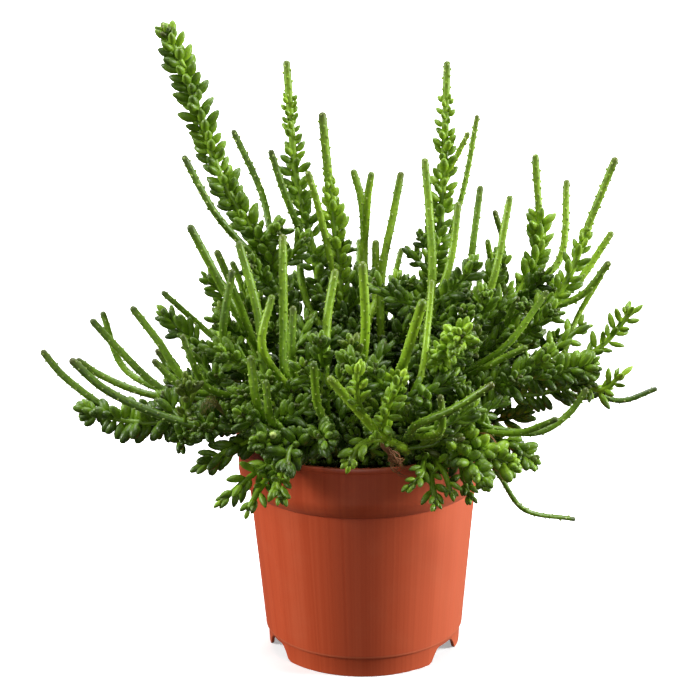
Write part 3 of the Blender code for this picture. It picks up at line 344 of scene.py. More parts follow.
@dataclass
class Clump:
    """The routes of all stems, laid out and pushed apart as in the solids."""
    shoots: list[Shoot]
    step: float = 4.0  # between the points of a route
    stem_gap: float = 0.7
    clad_room: float = 4.4  # half the room that a clad stretch keeps to the next stem
    settle_rounds: int = 90
    settle_ease: float = 0.55
    settle_limit: float = 2.5
    same_node_room: float = 0.75  # stems of one shoot may stand closer, by this share
    same_node_gap: float = 0.5
    smooth_share: float = 0.2
    smooth_tip: float = 0.15
    young_points: int = 4  # points of a side shoot that may lie close to its own stem
    stiff_above_soil: float = 3.0
    free_after: float = 18.0
    stiff_tip: Stretch = (30.0, 0.35)  # length before the tip that stiffens, and how free the tip is
    root_circle: float = 47.0
    root_spacing: float = 7.4
    root_ease: float = 0.4
    root_pull: float = 0.62  # where a root stands, as a share of the way to the first point
    root_rounds: int = 400
    start_height: float = 12.0  # a stem is nearly upright up to this height above the soil at most
    start_share: float = 0.45  # and up to this share of its first point's height, plus start_base
    start_base: float = 4.0
    start_lean: float = 0.12
    side_onward: float = 0.6  # how far a side shoot follows its stem at first, in steps
    side_outward: float = 0.22
    soil_top: float = 98.0
    soil_lump: float = 1.0
    hole_depth: float = 12.0
    fit: float = 0.3
    root_stem: float = 1.7
    clad_stem: float = 1.45
    finger: float = 2.3
    finger_tip: float = 1.7
    clad_tip: float = 0.8  # beside the stem
    bare_tip: float = 1.15
    tip_start: float = 0.55
    tip_run: float = 0.45
    side_root: float = 1.0
    swell: float = 16.0
    swell_start: float = 6.0
    side_swell_start: float = 4.0
    rim_radius: float = 60.5
    rim_height: float = 107.0
    rim_climb: float = 6.0  # a shoot this little below the rim passes over it
    rim_clear: float = 0.8
    wall: float = 1.5

    def settle(self) -> list[Strand]:
        """Return the strands of every shoot, clear of each other and of the pot."""
        strands = self.all_strands()
        self.bend_clear(strands)
        return strands

    def root_places(self) -> Array:
        """Return where each stem stands in the soil, clear of the others."""
        places = []
        for shoot in self.shoots:
            first = np.array(shoot.points[0][:2], dtype=float)
            reach = norm(first)
            places.append(first / max(reach, 1e-6) * min(self.root_circle, self.root_pull * reach))
        places = np.array(places)
        for _ in range(self.root_rounds):
            apart = places[:, None] - places[None]
            dist = norm(apart, axis=2) + np.eye(len(places)) * 1e3
            push = np.clip(self.root_spacing + self.root_ease - dist, 0, None) / 2
            places = places + (apart / dist[..., None] * push[..., None]).sum(axis=1)
            out = norm(places, axis=1)
            places *= np.minimum(1.0, self.root_circle / np.maximum(out, 1e-6))[:, None]
        return places

    def radius_along(self, along: Array, is_side: bool, clad: tuple | None) -> Array:
        """Return the radius that the solids have at each distance along a shoot.

        Args:
            along: distances from the strand's foot.
            is_side: whether it stands on a stem.
            clad: the shares of its length between which it is clad, if it is.

        Returns:
            A radius for each distance.
        """
        length = along[-1]
        root = self.side_root if is_side else self.root_stem
        thick = self.clad_stem if clad is not None else self.finger
        tip = self.finger_tip
        if clad is not None:
            tip = self.clad_stem * (self.clad_tip if clad[1] > CLAD_TO_TIP else self.bare_tip)
        swell_start = self.side_swell_start if is_side else self.hole_depth + self.swell_start
        grown = np.clip((along - swell_start) / self.swell, 0, 1)
        ending = np.clip((along - self.tip_start * length) / (self.tip_run * length), 0, 1)
        return (root + (thick - root) * grown) * (1 - ending) + tip * ending

    def make_strand(self, node: int, points: Array, clad: tuple | None,
                    parent: int = -1, joint: int = 0) -> Strand:
        """Return the strand of one stem or side shoot.

        Args:
            node: the shoot's place in the list.
            points: the route.
            clad: the shares of its length between which it is clad, if it is.
            parent: the stem's place among the strands, or -1 for a stem.
            joint: the stem's point that a side shoot stands on.

        Returns:
            The strand.
        """
        along = lengths_along(points)
        length = along[-1]
        radius = self.radius_along(along, parent >= 0, clad)
        room = radius.copy()
        if clad is not None:
            room[(along >= clad[0] * length) & (along <= clad[1] * length)] = self.clad_room
        above = along if parent >= 0 else along - self.hole_depth - self.stiff_above_soil
        stiff_length, tip_freedom = self.stiff_tip
        free = np.clip(above / self.free_after, 0, 1)
        free = free * np.clip((length - along) / stiff_length + tip_freedom, 0, 1)
        if parent < 0:
            free[points[:, 2] < self.soil_top + self.stiff_above_soil] = 0.0
        return Strand(node, points.copy(), points, radius, room, free, clad, parent, joint)

    def all_strands(self) -> list[Strand]:
        """Return the strands of every shoot, each side shoot after its stem."""
        strands = []
        lean = self.start_lean
        for node, (shoot, (x, y)) in enumerate(zip(self.shoots, self.root_places())):
            first = np.array(shoot.points[0], dtype=float)
            rise = self.start_share * (first[2] - self.soil_top) + self.start_base
            lift = self.soil_top + min(self.start_height, rise)
            start = [(x, y, self.soil_top - self.hole_depth + self.fit), (x, y, self.soil_top + 1),
                     (x + lean * (first[0] - x), y + lean * (first[1] - y), lift)]
            main = len(strands)
            route = smooth_route(start + shoot.points, self.step)
            strands.append(self.make_strand(node, route, shoot.clad))
            stem = strands[main].points
            for side in shoot.sides:
                joint = int(side.start * (len(stem) - 1))
                a, b = stem[joint - 1], stem[joint]
                outwards = np.array(side.points[0], dtype=float) - b
                bend = b + (b - a) * self.side_onward + outwards * self.side_outward
                route = smooth_route([b, bend] + side.points, self.step)
                strands.append(self.make_strand(node, route, side.clad, main, joint))
        return strands

    def keep_off_pot(self, p: Array, r: float) -> Array:
        """Return a point moved clear of the rim, the wall and the soil.

        Args:
            p: the point.
            r: the radius of the stem there.

        Returns:
            The same point, or one beside it that is clear.
        """
        clear = r + self.stem_gap
        out = math.hypot(p[0], p[1])
        inner = self.rim_radius - self.wall - self.rim_clear - clear
        outer = self.rim_radius + clear
        if p[2] >= self.rim_height + clear or out <= 1e-6:
            return p
        q = p.copy()
        if inner < out < outer:
            up = self.rim_height + clear - p[2]
            inwards, outwards = out - inner, outer - out
            if up <= min(inwards, outwards) or up < self.rim_climb:
                q[2] += up
            elif outwards < inwards:
                q[:2] *= outer / out
            else:
                q[:2] *= inner / out
        elif out <= inner:
            q[2] = max(q[2], self.soil_top + self.soil_lump + clear)
        return q

    @staticmethod
    def close_pairs(points: Array, owner: Array, widest: float) -> tuple:
        """Return the index pairs of points of different strands that lie close together.

        Args:
            points: the points of all strands.
            owner: the strand that each belongs to.
            widest: the distance that counts as close.

        Returns:
            The first and the second of each pair.
        """
        tree = kdtree.KDTree(len(points))
        for i, p in enumerate(points):
            tree.insert(p, i)
        tree.balance()
        first, second = [], []
        for i, p in enumerate(points):
            for _, j, _ in tree.find_range(p, widest):
                if j > i and owner[j] != owner[i]:
                    first.append(i)
                    second.append(j)
        return np.array(first), np.array(second)

    def bend_clear(self, strands: list[Strand]) -> None:
        """Push the routes of neighbouring shoots apart until none touches another.

        Args:
            strands: the strands, which are moved.
        """
        owner = np.concatenate([np.full(len(s.points), i) for i, s in enumerate(strands)])
        index = np.concatenate([np.arange(len(s.points)) for s in strands])
        node = np.array([s.node for s in strands])[owner]
        room, free = (np.concatenate([getattr(s, key) for s in strands]) for key in ("room", "free"))
        is_young = np.array([s.parent >= 0 for s in strands])[owner] & (index < self.young_points)
        starts = np.cumsum([0] + [len(s.points) for s in strands])
        widest = 2 * self.clad_room + self.stem_gap + self.step
        for _ in range(self.settle_rounds):
            points = np.concatenate([s.points for s in strands])
            first, second = self.close_pairs(points, owner, widest)
            same = node[first] == node[second]
            keep = ~(same & (is_young[first] | is_young[second]))
            first, second, same = first[keep], second[keep], same[keep]
            apart = points[first] - points[second]
            dist = norm(apart, axis=1) + 1e-9
            both = room[first] + room[second]
            close = self.same_node_room * both + self.same_node_gap
            lack = np.clip(np.where(same, close, both + self.stem_gap) - dist, 0, None)
            share = free[first] / (free[first] + free[second] + 1e-9)
            move = apart / dist[:, None] * (lack * self.settle_ease)[:, None]
            push = np.zeros_like(points)
            np.add.at(push, first, move * share[:, None])
            np.add.at(push, second, -move * (1 - share)[:, None])
            size = norm(push, axis=1)
            share = np.minimum(1.0, self.settle_limit / np.maximum(size, 1e-9))
            push *= share[:, None] * (free > 0)[:, None]
            for number, s in enumerate(strands):
                self.shift_strand(s, push[starts[number]:starts[number + 1]], strands)

    def shift_strand(self, s: Strand, push: Array, strands: list[Strand]) -> None:
        """Move a strand by its push, smoothed along it, with its foot on its stem.

        Args:
            s: the strand, which is moved.
            push: a move for each of its points.
            strands: all strands, its stem among them.
        """
        shift = s.points + push - s.home
        if s.parent >= 0:
            stem = strands[s.parent]
            shift[0] = stem.points[s.joint] - stem.home[s.joint]
        smooth = shift.copy()
        share, tip_share = self.smooth_share, self.smooth_tip
        smooth[1:-1] = (1 - 2 * share) * shift[1:-1] + share * (shift[:-2] + shift[2:])
        smooth[-1] = (1 - tip_share) * shift[-1] + tip_share * shift[-2]
        if s.parent < 0:
            smooth[s.free == 0] = 0.0
        s.points = s.home + smooth
        for k in np.nonzero(s.free > 0)[0]:
            s.points[k] = self.keep_off_pot(s.points[k], s.radius[k])


class Bench:
    """Adds nodes to a tree and links them in one call."""

    def __init__(self, tree: NodeTree) -> None:
        """Take the tree that the nodes go into."""
        self.tree = tree

    def add(self, kind: str, inputs: dict | None = None, **settings: object) -> Node:
        """Add one node.

        Args:
            kind: the node's type.
            inputs: what goes into its sockets, by name or number: a socket to link, or a value.
            settings: the node's own properties.

        Returns:
            The new node.
        """
        node = self.tree.nodes.new(kind)
        for name, value in settings.items():
            setattr(node, name, value)
        for key, value in (inputs or {}).items():
            if isinstance(value, Socket):
                self.tree.links.new(value, node.inputs[key])
            else:
                node.inputs[key].default_value = value
        return node

    def math(self, operation: str, a: object, b: object = 0.0, clamp: bool = False) -> Socket:
        """Return the result of one sum, in a shader tree or a geometry tree."""
        node = self.add("ShaderNodeMath", {0: a, 1: b}, operation=operation, use_clamp=clamp)
        return node.outputs[0]

    def vector(self, operation: str, a: object, b: object = (0, 0, 0)) -> Socket:
        """Return the result of one sum of vectors."""
        return self.add("ShaderNodeVectorMath", {0: a, 1: b}, operation=operation).outputs[0]

    def named(self, name: str, data_type: str = "FLOAT") -> Socket:
        """Return a named attribute in a geometry tree."""
        node = self.add("GeometryNodeInputNamedAttribute", {"Name": name}, data_type=data_type)
        return node.outputs["Attribute"]


class Surface(Bench):
    """The node tree of one material, with its shader at hand."""

    def __init__(self, name: str) -> None:
        """Make the material and find its shader."""
        self.material = bpy.data.materials.new(name)
        self.material.use_nodes = True
        super().__init__(self.material.node_tree)
        self.shader = self.tree.nodes["Principled BSDF"]
        self.place = self.add("ShaderNodeTexCoord").outputs["Object"]

    def feed(self, inputs: dict[str, object]) -> Material:
        """Link sockets to the shader's, or set values on them, and return the material.

        Args:
            inputs: the sockets or values, by the name of the shader's input.

        Returns:
            The material.
        """
        for name, value in inputs.items():
            if isinstance(value, Socket):
                self.tree.links.new(value, self.shader.inputs[name])
            else:
                self.shader.inputs[name].default_value = value
        return self.material

    def around(self, radius: float, climb: float) -> Socket:
        """Return coordinates that run round the upright axis and barely change with the height.

        Args:
            radius: the radius at which the pattern keeps its size, in metres.
            climb: the share of the height that still counts.

        Returns:
            The coordinates.
        """
        turned = self.vector("NORMALIZE", self.vector("MULTIPLY", self.place, (1, 1, 0)))
        ring = self.vector("MULTIPLY", turned, (radius, radius, 0))
        return self.vector("ADD", ring, self.vector("MULTIPLY", self.place, (0, 0, climb)))

    def noise(self, scale: float, detail: float = 3.0, spot: Socket | None = None) -> Socket:
        """Return a noise with so many lumps in a metre, on the object's own or other coordinates."""
        inputs = {"Vector": spot or self.place, "Scale": scale, "Detail": detail}
        return self.add("ShaderNodeTexNoise", inputs).outputs[0]

    def patches(self, scale: float, detail: float, low: float, high: float) -> Socket:
        """Return a noise whose usual range is spread from a low to a high value."""
        return self.fade(self.noise(scale, detail), 0.3, 0.7, low, high)

    def attribute(self, name: str) -> Socket:
        """Return a number stored on the mesh."""
        return self.add("ShaderNodeAttribute", attribute_name=name).outputs["Fac"]

    def ramp(self, value: object, stops: list[tuple[float, tuple]]) -> Socket:
        """Return the colour that a value has on a scale of colour stops.

        Args:
            value: the value, from 0 to 1.
            stops: the place and the colour of each stop.

        Returns:
            The colour.
        """
        node = self.add("ShaderNodeValToRGB", {"Fac": value})
        marks = node.color_ramp.elements
        while len(marks) < len(stops):
            marks.new(0.5)
        for mark, (place, colour) in zip(marks, stops):
            mark.position = place
            mark.color = (*colour, 1.0)
        return node.outputs["Color"]

    def mix(self, share: object, a: object, b: object) -> Socket:
        """Return a mix of two colours.

        Args:
            share: how much of the last there is.
            a: the first, a socket or a colour.
            b: the last, a socket or a colour.

        Returns:
            The mix.
        """
        first, last = (value if isinstance(value, Socket) else (*value, 1.0) for value in (a, b))
        node = self.add("ShaderNodeMix", {0: share, 6: first, 7: last}, data_type="RGBA")
        return node.outputs[2]

    def fade(self, value: object, low: float, high: float, start: float, end: float) -> Socket:
        """Return a value spread from one range to another, held at its ends."""
        node = self.add("ShaderNodeMapRange", {0: value, 1: low, 2: high, 3: start, 4: end})
        return node.outputs[0]

    def bump(self, height: object, distance: float, strength: float, under: object = None) -> Socket:
        """Return a normal bent by a height, on top of another one where given.

        Args:
            height: the height, from 0 to 1.
            distance: what a height of 1 measures, in metres.
            strength: how much of it shows.
            under: the normal that it bends, if any.

        Returns:
            The bent normal.
        """
        inputs = {"Height": height, "Distance": distance, "Strength": strength}
        if under is not None:
            inputs["Normal"] = under
        return self.add("ShaderNodeBump", inputs).outputs[0]


@dataclass(frozen=True)
class PlantFinish:
    """Waxy green skin whose colour follows the tone, age and paleness stored on the mesh."""
    roughness: Stretch = (0.34, 0.51)
    specular: float = 0.36
    fuzz: float = 0.07
    fuzz_roughness: float = 0.35
    fuzz_tint: Point = (0.72, 0.90, 0.42)
    subsurface: float = 0.06
    subsurface_scale: float = 0.0016
    subsurface_reach: Point = (0.6, 1.0, 0.2)
    mottle: float = 0.07  # how much the tone varies with each of two noises
    grain_shade: Stretch = (0.05, -0.13)  # change of tone at a grain's foot and near its end
    tip_glow: float = 0.25  # how pale the very end of a grain is
    bristly: Stretch = (0.08, 0.60)  # how much the bristles show at a grain's foot and at its end
    woody: Point = (0.120, 0.076, 0.020)
    dry_root: Point = (0.230, 0.095, 0.036)
    areole: Point = (0.46, 0.54, 0.17)
    bristle: Point = (0.32, 0.40, 0.13)
    greens: tuple = (
        (0.00, (0.010, 0.026, 0.0008)), (0.30, (0.043, 0.094, 0.0025)), (0.55, (0.134, 0.250, 0.007)),
        (0.80, (0.270, 0.440, 0.016)), (1.00, (0.420, 0.590, 0.045)))

    def colour(self, skin: Surface) -> Socket:
        """Return the skin's colour, from its tone, its age, its paleness and its bristles.

        Args:
            skin: the surface that the nodes go into.

        Returns:
            The colour.
        """
        along, age = skin.attribute("along"), skin.attribute("age")
        mottle = [skin.patches(scale, detail, -self.mottle, self.mottle)
                  for scale, detail in ((70.0, 3.0), (700.0, 4.0))]
        tone = skin.math("ADD", skin.attribute("tone"), skin.math("ADD", *mottle))
        shaded_end = skin.fade(along, 0.30, 0.95, *self.grain_shade)
        green = skin.ramp(skin.math("ADD", tone, shaded_end, clamp=True), list(self.greens))
        dried = skin.fade(age, 0.9, 1.0, 0.0, 1.0)
        aged = skin.mix(dried, skin.mix(age, green, self.woody), self.dry_root)
        pale = skin.math("MAXIMUM", skin.attribute("pale"), skin.fade(along, 0.96, 1.0, 0.0, self.tip_glow))
        spots = skin.fade(skin.noise(2300.0, 1.0), 0.60, 0.72, 0.0, 1.0)
        bristles = skin.math("MULTIPLY", spots, skin.fade(along, 0.25, 1.0, *self.bristly))
        return skin.mix(bristles, skin.mix(pale, aged, self.areole), self.bristle)

    def build(self) -> Material:
        """Return the material."""
        skin = Surface("rhipsalis_green")
        ribs = skin.bump(skin.noise(420.0, 2.0), 0.0005, 0.40)
        return skin.feed({
            "Base Color": self.colour(skin),
            "Roughness": skin.patches(300.0, 3.0, *self.roughness),
            "Specular IOR Level": self.specular,
            "Sheen Weight": self.fuzz,
            "Sheen Roughness": self.fuzz_roughness,
            "Sheen Tint": (*self.fuzz_tint, 1.0),
            "Subsurface Weight": self.subsurface,
            "Subsurface Scale": self.subsurface_scale,
            "Subsurface Radius": self.subsurface_reach,
            "Normal": skin.bump(skin.noise(1300.0, 4.0), 0.0002, 0.45, ribs)})


@dataclass(frozen=True)
class PotFinish:
    """Terracotta-coloured moulded plastic with faint flow lines down its wall, a painted highlight on its
    right side and painted highlights along its ledge and lip.
    """
    colour: Point = (0.495, 0.065, 0.017)
    streak: Point = (0.63, 0.105, 0.033)
    streak_share: float = 0.50
    fine_lines: float = 0.55
    wide_lines: float = 0.45
    dust: Point = (0.58, 0.14, 0.060)
    dust_share: float = 0.25
    # Painted highlight: the pot's right side is lightened towards this colour, standing in for the sheen of
    # the right-hand lamp.
    painted_highlight: Point = (0.60, 0.155, 0.075)
    painted_highlight_share: float = 0.50
    painted_highlight_from: float = 0.045  # painted highlight: the pot's right side is fully lightened this far to the right of its axis
    # Painted highlights: thin pale lines along the rounded ledge edge and the top of the lip, where light
    # catches them.
    edge: Point = (0.78, 0.250, 0.130)
    edges: tuple = (0.0105, 0.1069)
    edge_highlight_width: float = 0.0006
    edge_highlight_share: float = 0.32
    roughness: Stretch = (0.40, 0.47)
    specular: float = 0.50
    sheen: float = 0.03
    sheen_roughness: float = 0.45
    sheen_tint: Point = (1.0, 0.80, 0.70)

    def build(self) -> Material:
        """Return the material."""
        wall = Surface("terracotta_plastic_fine")
        spot = wall.add("ShaderNodeSeparateXYZ", {0: wall.place}).outputs
        around = wall.around(0.055, 0.006)
        lines = wall.noise(620.0, 3.0, spot=around)
        fine = wall.math("MULTIPLY", lines, self.fine_lines)
        wide = wall.math("MULTIPLY", wall.noise(150.0, 2.0, spot=around), self.wide_lines)
        both = wall.math("ADD", fine, wide)
        streaked = wall.mix(wall.fade(both, 0.40, 0.62, 0.0, self.streak_share), self.colour, self.streak)
        scuffs = wall.fade(wall.noise(45.0, 6.0), 0.55, 0.80, 0.0, self.dust_share)
        dusty = wall.mix(scuffs, streaked, self.dust)
        # painted highlight: lighter towards the pot's right side
        painted_highlight_mask = wall.fade(spot["X"], 0.0, self.painted_highlight_from, 0.0, self.painted_highlight_share)
        with_painted_highlight = wall.mix(painted_highlight_mask, dusty, self.painted_highlight)
        grain = wall.bump(wall.noise(2600.0, 2.0), 0.00005, 0.35)
        return wall.feed({
            # painted highlights along the ledge and the lip go over the colour
            "Base Color": wall.mix(self.painted_edge_highlights(wall, spot["Z"]), with_painted_highlight, self.edge),
            "Roughness": wall.fade(both, 0.35, 0.65, *self.roughness),
            "Normal": wall.bump(lines, 0.0003, 0.16, grain),
            "Specular IOR Level": self.specular,
            "Sheen Weight": self.sheen,
            "Sheen Roughness": self.sheen_roughness,
            "Sheen Tint": (*self.sheen_tint, 1.0)})

    def painted_edge_highlights(self, wall: Surface, height: Socket) -> Socket:
        """Return the painted highlights along the ledge's and the lip's edges, paler than the wall.

        Args:
            wall: the surface that the nodes go into.
            height: the height on the pot.

        Returns:
            How strong the painted highlight is there, from 0.
        """
        lines = 0.0
        for edge in self.edges:
            off = wall.math("ABSOLUTE", wall.math("SUBTRACT", height, edge))
            lines = wall.math("ADD", lines, wall.fade(off, 0.0, self.edge_highlight_width, self.edge_highlight_share, 0.0))
        return lines


@dataclass(frozen=True)
class SoilFinish:
    """Dark damp potting soil with paler crumbs."""
    dark: Point = (0.012, 0.008, 0.005)
    brown: Point = (0.060, 0.036, 0.020)
    pale: Point = (0.17, 0.115, 0.07)
    crumb_share: float = 0.25  # how much a crumb's own shade counts
    roughness: float = 0.93

    def build(self) -> Material:
        """Return the material."""
        soil = Surface("dark_soil_fine")
        crumb = soil.math("MULTIPLY", soil.attribute("crumb"), self.crumb_share)
        shade = soil.math("ADD", soil.noise(330.0, 6.0), crumb)
        return soil.feed({
            "Base Color": soil.ramp(shade, [(0.38, self.dark), (0.62, self.brown), (0.86, self.pale)]),
            "Roughness": self.roughness,
            "Normal": soil.bump(soil.noise(900.0, 6.0), 0.0006, 0.8)})


@dataclass(frozen=True)
class FloorFinish:
    """Plain pale studio paper."""
    colour: Point = (0.93, 0.93, 0.925)
    darker: float = 0.99  # the darkest fleck beside the colour
    roughness: float = 0.9
    glow: float = 0.35

    def build(self) -> Material:
        """Return the material."""
        paper = Surface("pale_paper")
        fleck = tuple(self.darker * value for value in self.colour)
        return paper.feed({
            "Base Color": paper.mix(paper.patches(40.0, 2.0, 0.0, 1.0), self.colour, fleck),
            "Roughness": self.roughness,
            "Emission Color": (1.0, 1.0, 1.0, 1.0),
            "Emission Strength": self.glow})


def add_object(name: str, mesh: Mesh,
               material: Material | None = None) -> Object:
    """Link a mesh as an object at the origin, with a material where given.

    Args:
        name: the piece's name.
        mesh: its mesh.
        material: its finish, where it has one of its own.

    Returns:
        The object.
    """
    if material is not None:
        mesh.materials.clear()
        mesh.materials.append(material)
    item = bpy.data.objects.new(name, mesh)
    bpy.context.scene.collection.objects.link(item)
    return item


def close_mesh(build: bmesh.types.BMesh, name: str) -> Mesh:
    """Return what was built as a mesh, and free the builder.

    Args:
        build: holds what was built.
        name: the mesh's name.

    Returns:
        The mesh.
    """
    mesh = bpy.data.meshes.new(name)
    build.to_mesh(mesh)
    build.free()
    return mesh


def freeze(item: Object) -> Object:
    """Turn an object with its modifiers into a plain mesh and take the modifiers off.

    Args:
        item: the object, with its modifiers.

    Returns:
        The same object.
    """
    bpy.context.view_layer.update()
    graph = bpy.context.evaluated_depsgraph_get()
    mesh = bpy.data.meshes.new_from_object(item.evaluated_get(graph))
    item.modifiers.clear()
    old = item.data
    item.data = mesh
    mesh.name = item.name
    bpy.data.meshes.remove(old)
    return item


def dress(item: Object, node: str) -> Object:
    """Let a piece stand for a solid: attach it to the root body and hide the solid.

    Args:
        item: the piece.
        node: the solid's node.

    Returns:
        The same piece.
    """
    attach(item, "root")
    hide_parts(node)
    return item


class GeometryTree(Bench):
    """A geometry node group with named inputs, through which a mesh is run."""

    def __init__(self, name: str, inputs: tuple[tuple[str, str, object], ...]) -> None:
        """Make the group and its sockets.

        Args:
            name: the group's name.
            inputs: name, kind and usual value of each input beside the geometry.
        """
        super().__init__(bpy.data.node_groups.new(name, "GeometryNodeTree"))
        self.tree.is_modifier = True
        self.sockets: dict[str, str] = {}
        face = self.tree.interface
        face.new_socket("Geometry", in_out="INPUT", socket_type="NodeSocketGeometry")
        for key, kind, value in inputs:
            socket = face.new_socket(key, in_out="INPUT", socket_type=kind)
            if value is not None:
                socket.default_value = value
            self.sockets[key] = socket.identifier
        face.new_socket("Geometry", in_out="OUTPUT", socket_type="NodeSocketGeometry")
        self.source = self.add("NodeGroupInput").outputs

    def close(self, parts: list[Socket], is_smooth: bool) -> None:
        """Join the parts, make them plain, give them their finish and link them to the output.

        Args:
            parts: what the tree makes.
            is_smooth: whether its faces are shaded smooth.
        """
        joined = self.add("GeometryNodeJoinGeometry")
        for part in parts:
            self.tree.links.new(part, joined.inputs[0])
        if is_smooth:
            joined = self.add("GeometryNodeSetShadeSmooth", {"Geometry": joined.outputs[0]})
        whole = self.add("GeometryNodeRealizeInstances", {"Geometry": joined.outputs[0]})
        dressed = self.add("GeometryNodeSetMaterial", {
            "Geometry": whole.outputs[0], "Material": self.source["Finish"]})
        self.add("NodeGroupOutput", {"Geometry": dressed.outputs[0]})

    def run(self, item: Object, values: dict[str, object]) -> Object:
        """Run an object's mesh through the group and return it as a plain mesh.

        Args:
            item: the object that holds the source geometry.
            values: the group's inputs, by name.

        Returns:
            The same object, without modifiers.
        """
        step = item.modifiers.new(self.tree.name, "NODES")
        step.node_group = self.tree
        for key, value in values.items():
            step[self.sockets[key]] = value
        return freeze(item)


# How wide a joint is beside a plain ball, from its foot to its tip.
GRAIN_OUTLINE = ((0.0, 0.66), (0.12, 0.86), (0.42, 0.94), (0.74, 1.02), (0.93, 1.18), (1.0, 1.2))
LEAF_OUTLINE = (
    (0.0, 0.62), (0.14, 0.84), (0.38, 1.02), (0.62, 1.0), (0.82, 0.88), (0.94, 0.76), (1.0, 0.62))
LEAF_BEND = 1.5  # how much more a pointed joint bends than a plump one


class GrowthTree(GeometryTree):
    """Geometry nodes that grow stems along lines, and grains, leaflets and areoles on loose points."""

    def __init__(self) -> None:
        """Make the group and link the whole tree."""
        super().__init__("growth", (
            ("Stem Sides", "NodeSocketInt", 8), ("Grain Sides", "NodeSocketInt", 8),
            ("Grain Rings", "NodeSocketInt", 6), ("Grain Bend", "NodeSocketFloat", 0.35),
            ("Size Spread", "NodeSocketFloat", 0.10), ("Seed", "NodeSocketInt", 0),
            ("Finish", "NodeSocketMaterial", None)))
        knob = self.add("GeometryNodeMeshIcoSphere", {"Radius": 1.0, "Subdivisions": 1})
        grain = self.grain_shape(GRAIN_OUTLINE, 1.0)
        leaf = self.grain_shape(LEAF_OUTLINE, LEAF_BEND)
        self.close([self.stems(), self.on_points(Part.GRAIN, grain), self.on_points(Part.LEAF, leaf),
                    self.on_points(Part.AREOLE, knob.outputs["Mesh"])], True)

    def grain_shape(self, outline: tuple, bend: float) -> Socket:
        """Return a grain one unit long that stands on the origin, as wide as its outline says.

        Args:
            outline: the places along the grain, and its width at each.
            bend: how far it bows to one side.

        Returns:
            The grain.
        """
        ball = self.add("GeometryNodeMeshUVSphere", {
            "Segments": self.source["Grain Sides"], "Rings": self.source["Grain Rings"], "Radius": 1.0})
        position = self.add("GeometryNodeInputPosition").outputs[0]
        spot = self.add("ShaderNodeSeparateXYZ", {0: position}).outputs
        along = self.math("MULTIPLY_ADD", spot["Z"], 0.5)
        along.node.inputs[2].default_value = 0.5
        girth = self.add("ShaderNodeFloatCurve", {"Value": along})
        curve = girth.mapping.curves[0]
        for x, y in outline[1:-1]:
            curve.points.new(x, y)
        curve.points[0].location = outline[0]
        curve.points[-1].location = outline[-1]
        girth.mapping.update()
        amount = self.math("MULTIPLY", self.source["Grain Bend"], bend)
        bent = self.math("MULTIPLY", self.math("MULTIPLY", along, along), amount)
        x = self.math("ADD", self.math("MULTIPLY", spot["X"], girth.outputs[0]), bent)
        y = self.math("MULTIPLY", spot["Y"], girth.outputs[0])
        moved = self.add("ShaderNodeCombineXYZ", {"X": x, "Y": y, "Z": along})
        marked = self.add("GeometryNodeStoreNamedAttribute", {
            "Geometry": ball.outputs["Mesh"], "Name": "along", "Value": along},
            data_type="FLOAT", domain="POINT")
        return self.add("GeometryNodeSetPosition", {
            "Geometry": marked.outputs[0], "Position": moved.outputs[0]}).outputs[0]

    def stems(self) -> Socket:
        """Return round stems along the lines, as thick as each point says."""
        lines = self.add("GeometryNodeMeshToCurve", {"Mesh": self.source["Geometry"]})
        ring = self.add("GeometryNodeCurvePrimitiveCircle", {
            "Resolution": self.source["Stem Sides"], "Radius": 1.0})
        return self.add("GeometryNodeCurveToMesh", {
            "Curve": lines.outputs[0], "Profile Curve": ring.outputs[0], "Scale": self.named("girth"),
            "Fill Caps": True}).outputs[0]

    def on_points(self, part: Part, shape: Socket) -> Socket:
        """Return a shape on each loose point of one kind, turned and sized as the point says.

        Args:
            part: the kind of the points.
            shape: the shape, one unit long.

        Returns:
            All the shapes.
        """
        is_part = self.add("FunctionNodeCompare", {2: self.named("part", "INT"), 3: int(part)},
                           data_type="INT", operation="EQUAL")
        points = self.add("GeometryNodeMeshToPoints", {
            "Mesh": self.source["Geometry"], "Selection": is_part.outputs[0]})
        turned = self.add("FunctionNodeAxesToRotation", {
            0: self.named("way", "FLOAT_VECTOR"), 1: self.named("rise", "FLOAT_VECTOR")},
            primary_axis="Z", secondary_axis="X")
        spread = self.source["Size Spread"]
        scatter = self.add("FunctionNodeRandomValue", {
            2: self.math("SUBTRACT", 1.0, spread), 3: self.math("ADD", 1.0, spread),
            "Seed": self.source["Seed"]}, data_type="FLOAT")
        size = self.add("ShaderNodeVectorMath", {
            0: self.named("size", "FLOAT_VECTOR"), "Scale": scatter.outputs[1]}, operation="SCALE")
        copies = self.add("GeometryNodeInstanceOnPoints", {
            "Points": points.outputs[0], "Instance": shape, "Rotation": turned.outputs[0],
            "Scale": size.outputs[0]})
        return self.add("GeometryNodeRealizeInstances", {"Geometry": copies.outputs[0]}).outputs[0]

    def grow(self, name: str, mesh: Mesh, values: dict[str, object]) -> Object:
        """Return the plain mesh object that the tree makes of some source points.

        Args:
            name: the name of the piece.
            mesh: the source points and lines with their attributes.
            values: the tree's inputs, by name.

        Returns:
            The finished piece, without modifiers.
        """
        item = self.run(add_object(name, mesh), values)
        for spare in ("girth", "part", "way", "rise", "size"):
            found = item.data.attributes.get(spare)
            if found is not None:
                item.data.attributes.remove(found)
        return item


UPWARDS = (0.0, 0.0, 1.0)
ACROSS = (1.0, 0.0, 0.0)
# What the growth tree reads from each point, in the order in which a sprig keeps it.
POINT_DATA = {
    "part": "INT", "girth": "FLOAT", "tone": "FLOAT", "age": "FLOAT", "pale": "FLOAT",
    "way": "FLOAT_VECTOR", "rise": "FLOAT_VECTOR", "size": "FLOAT_VECTOR"}


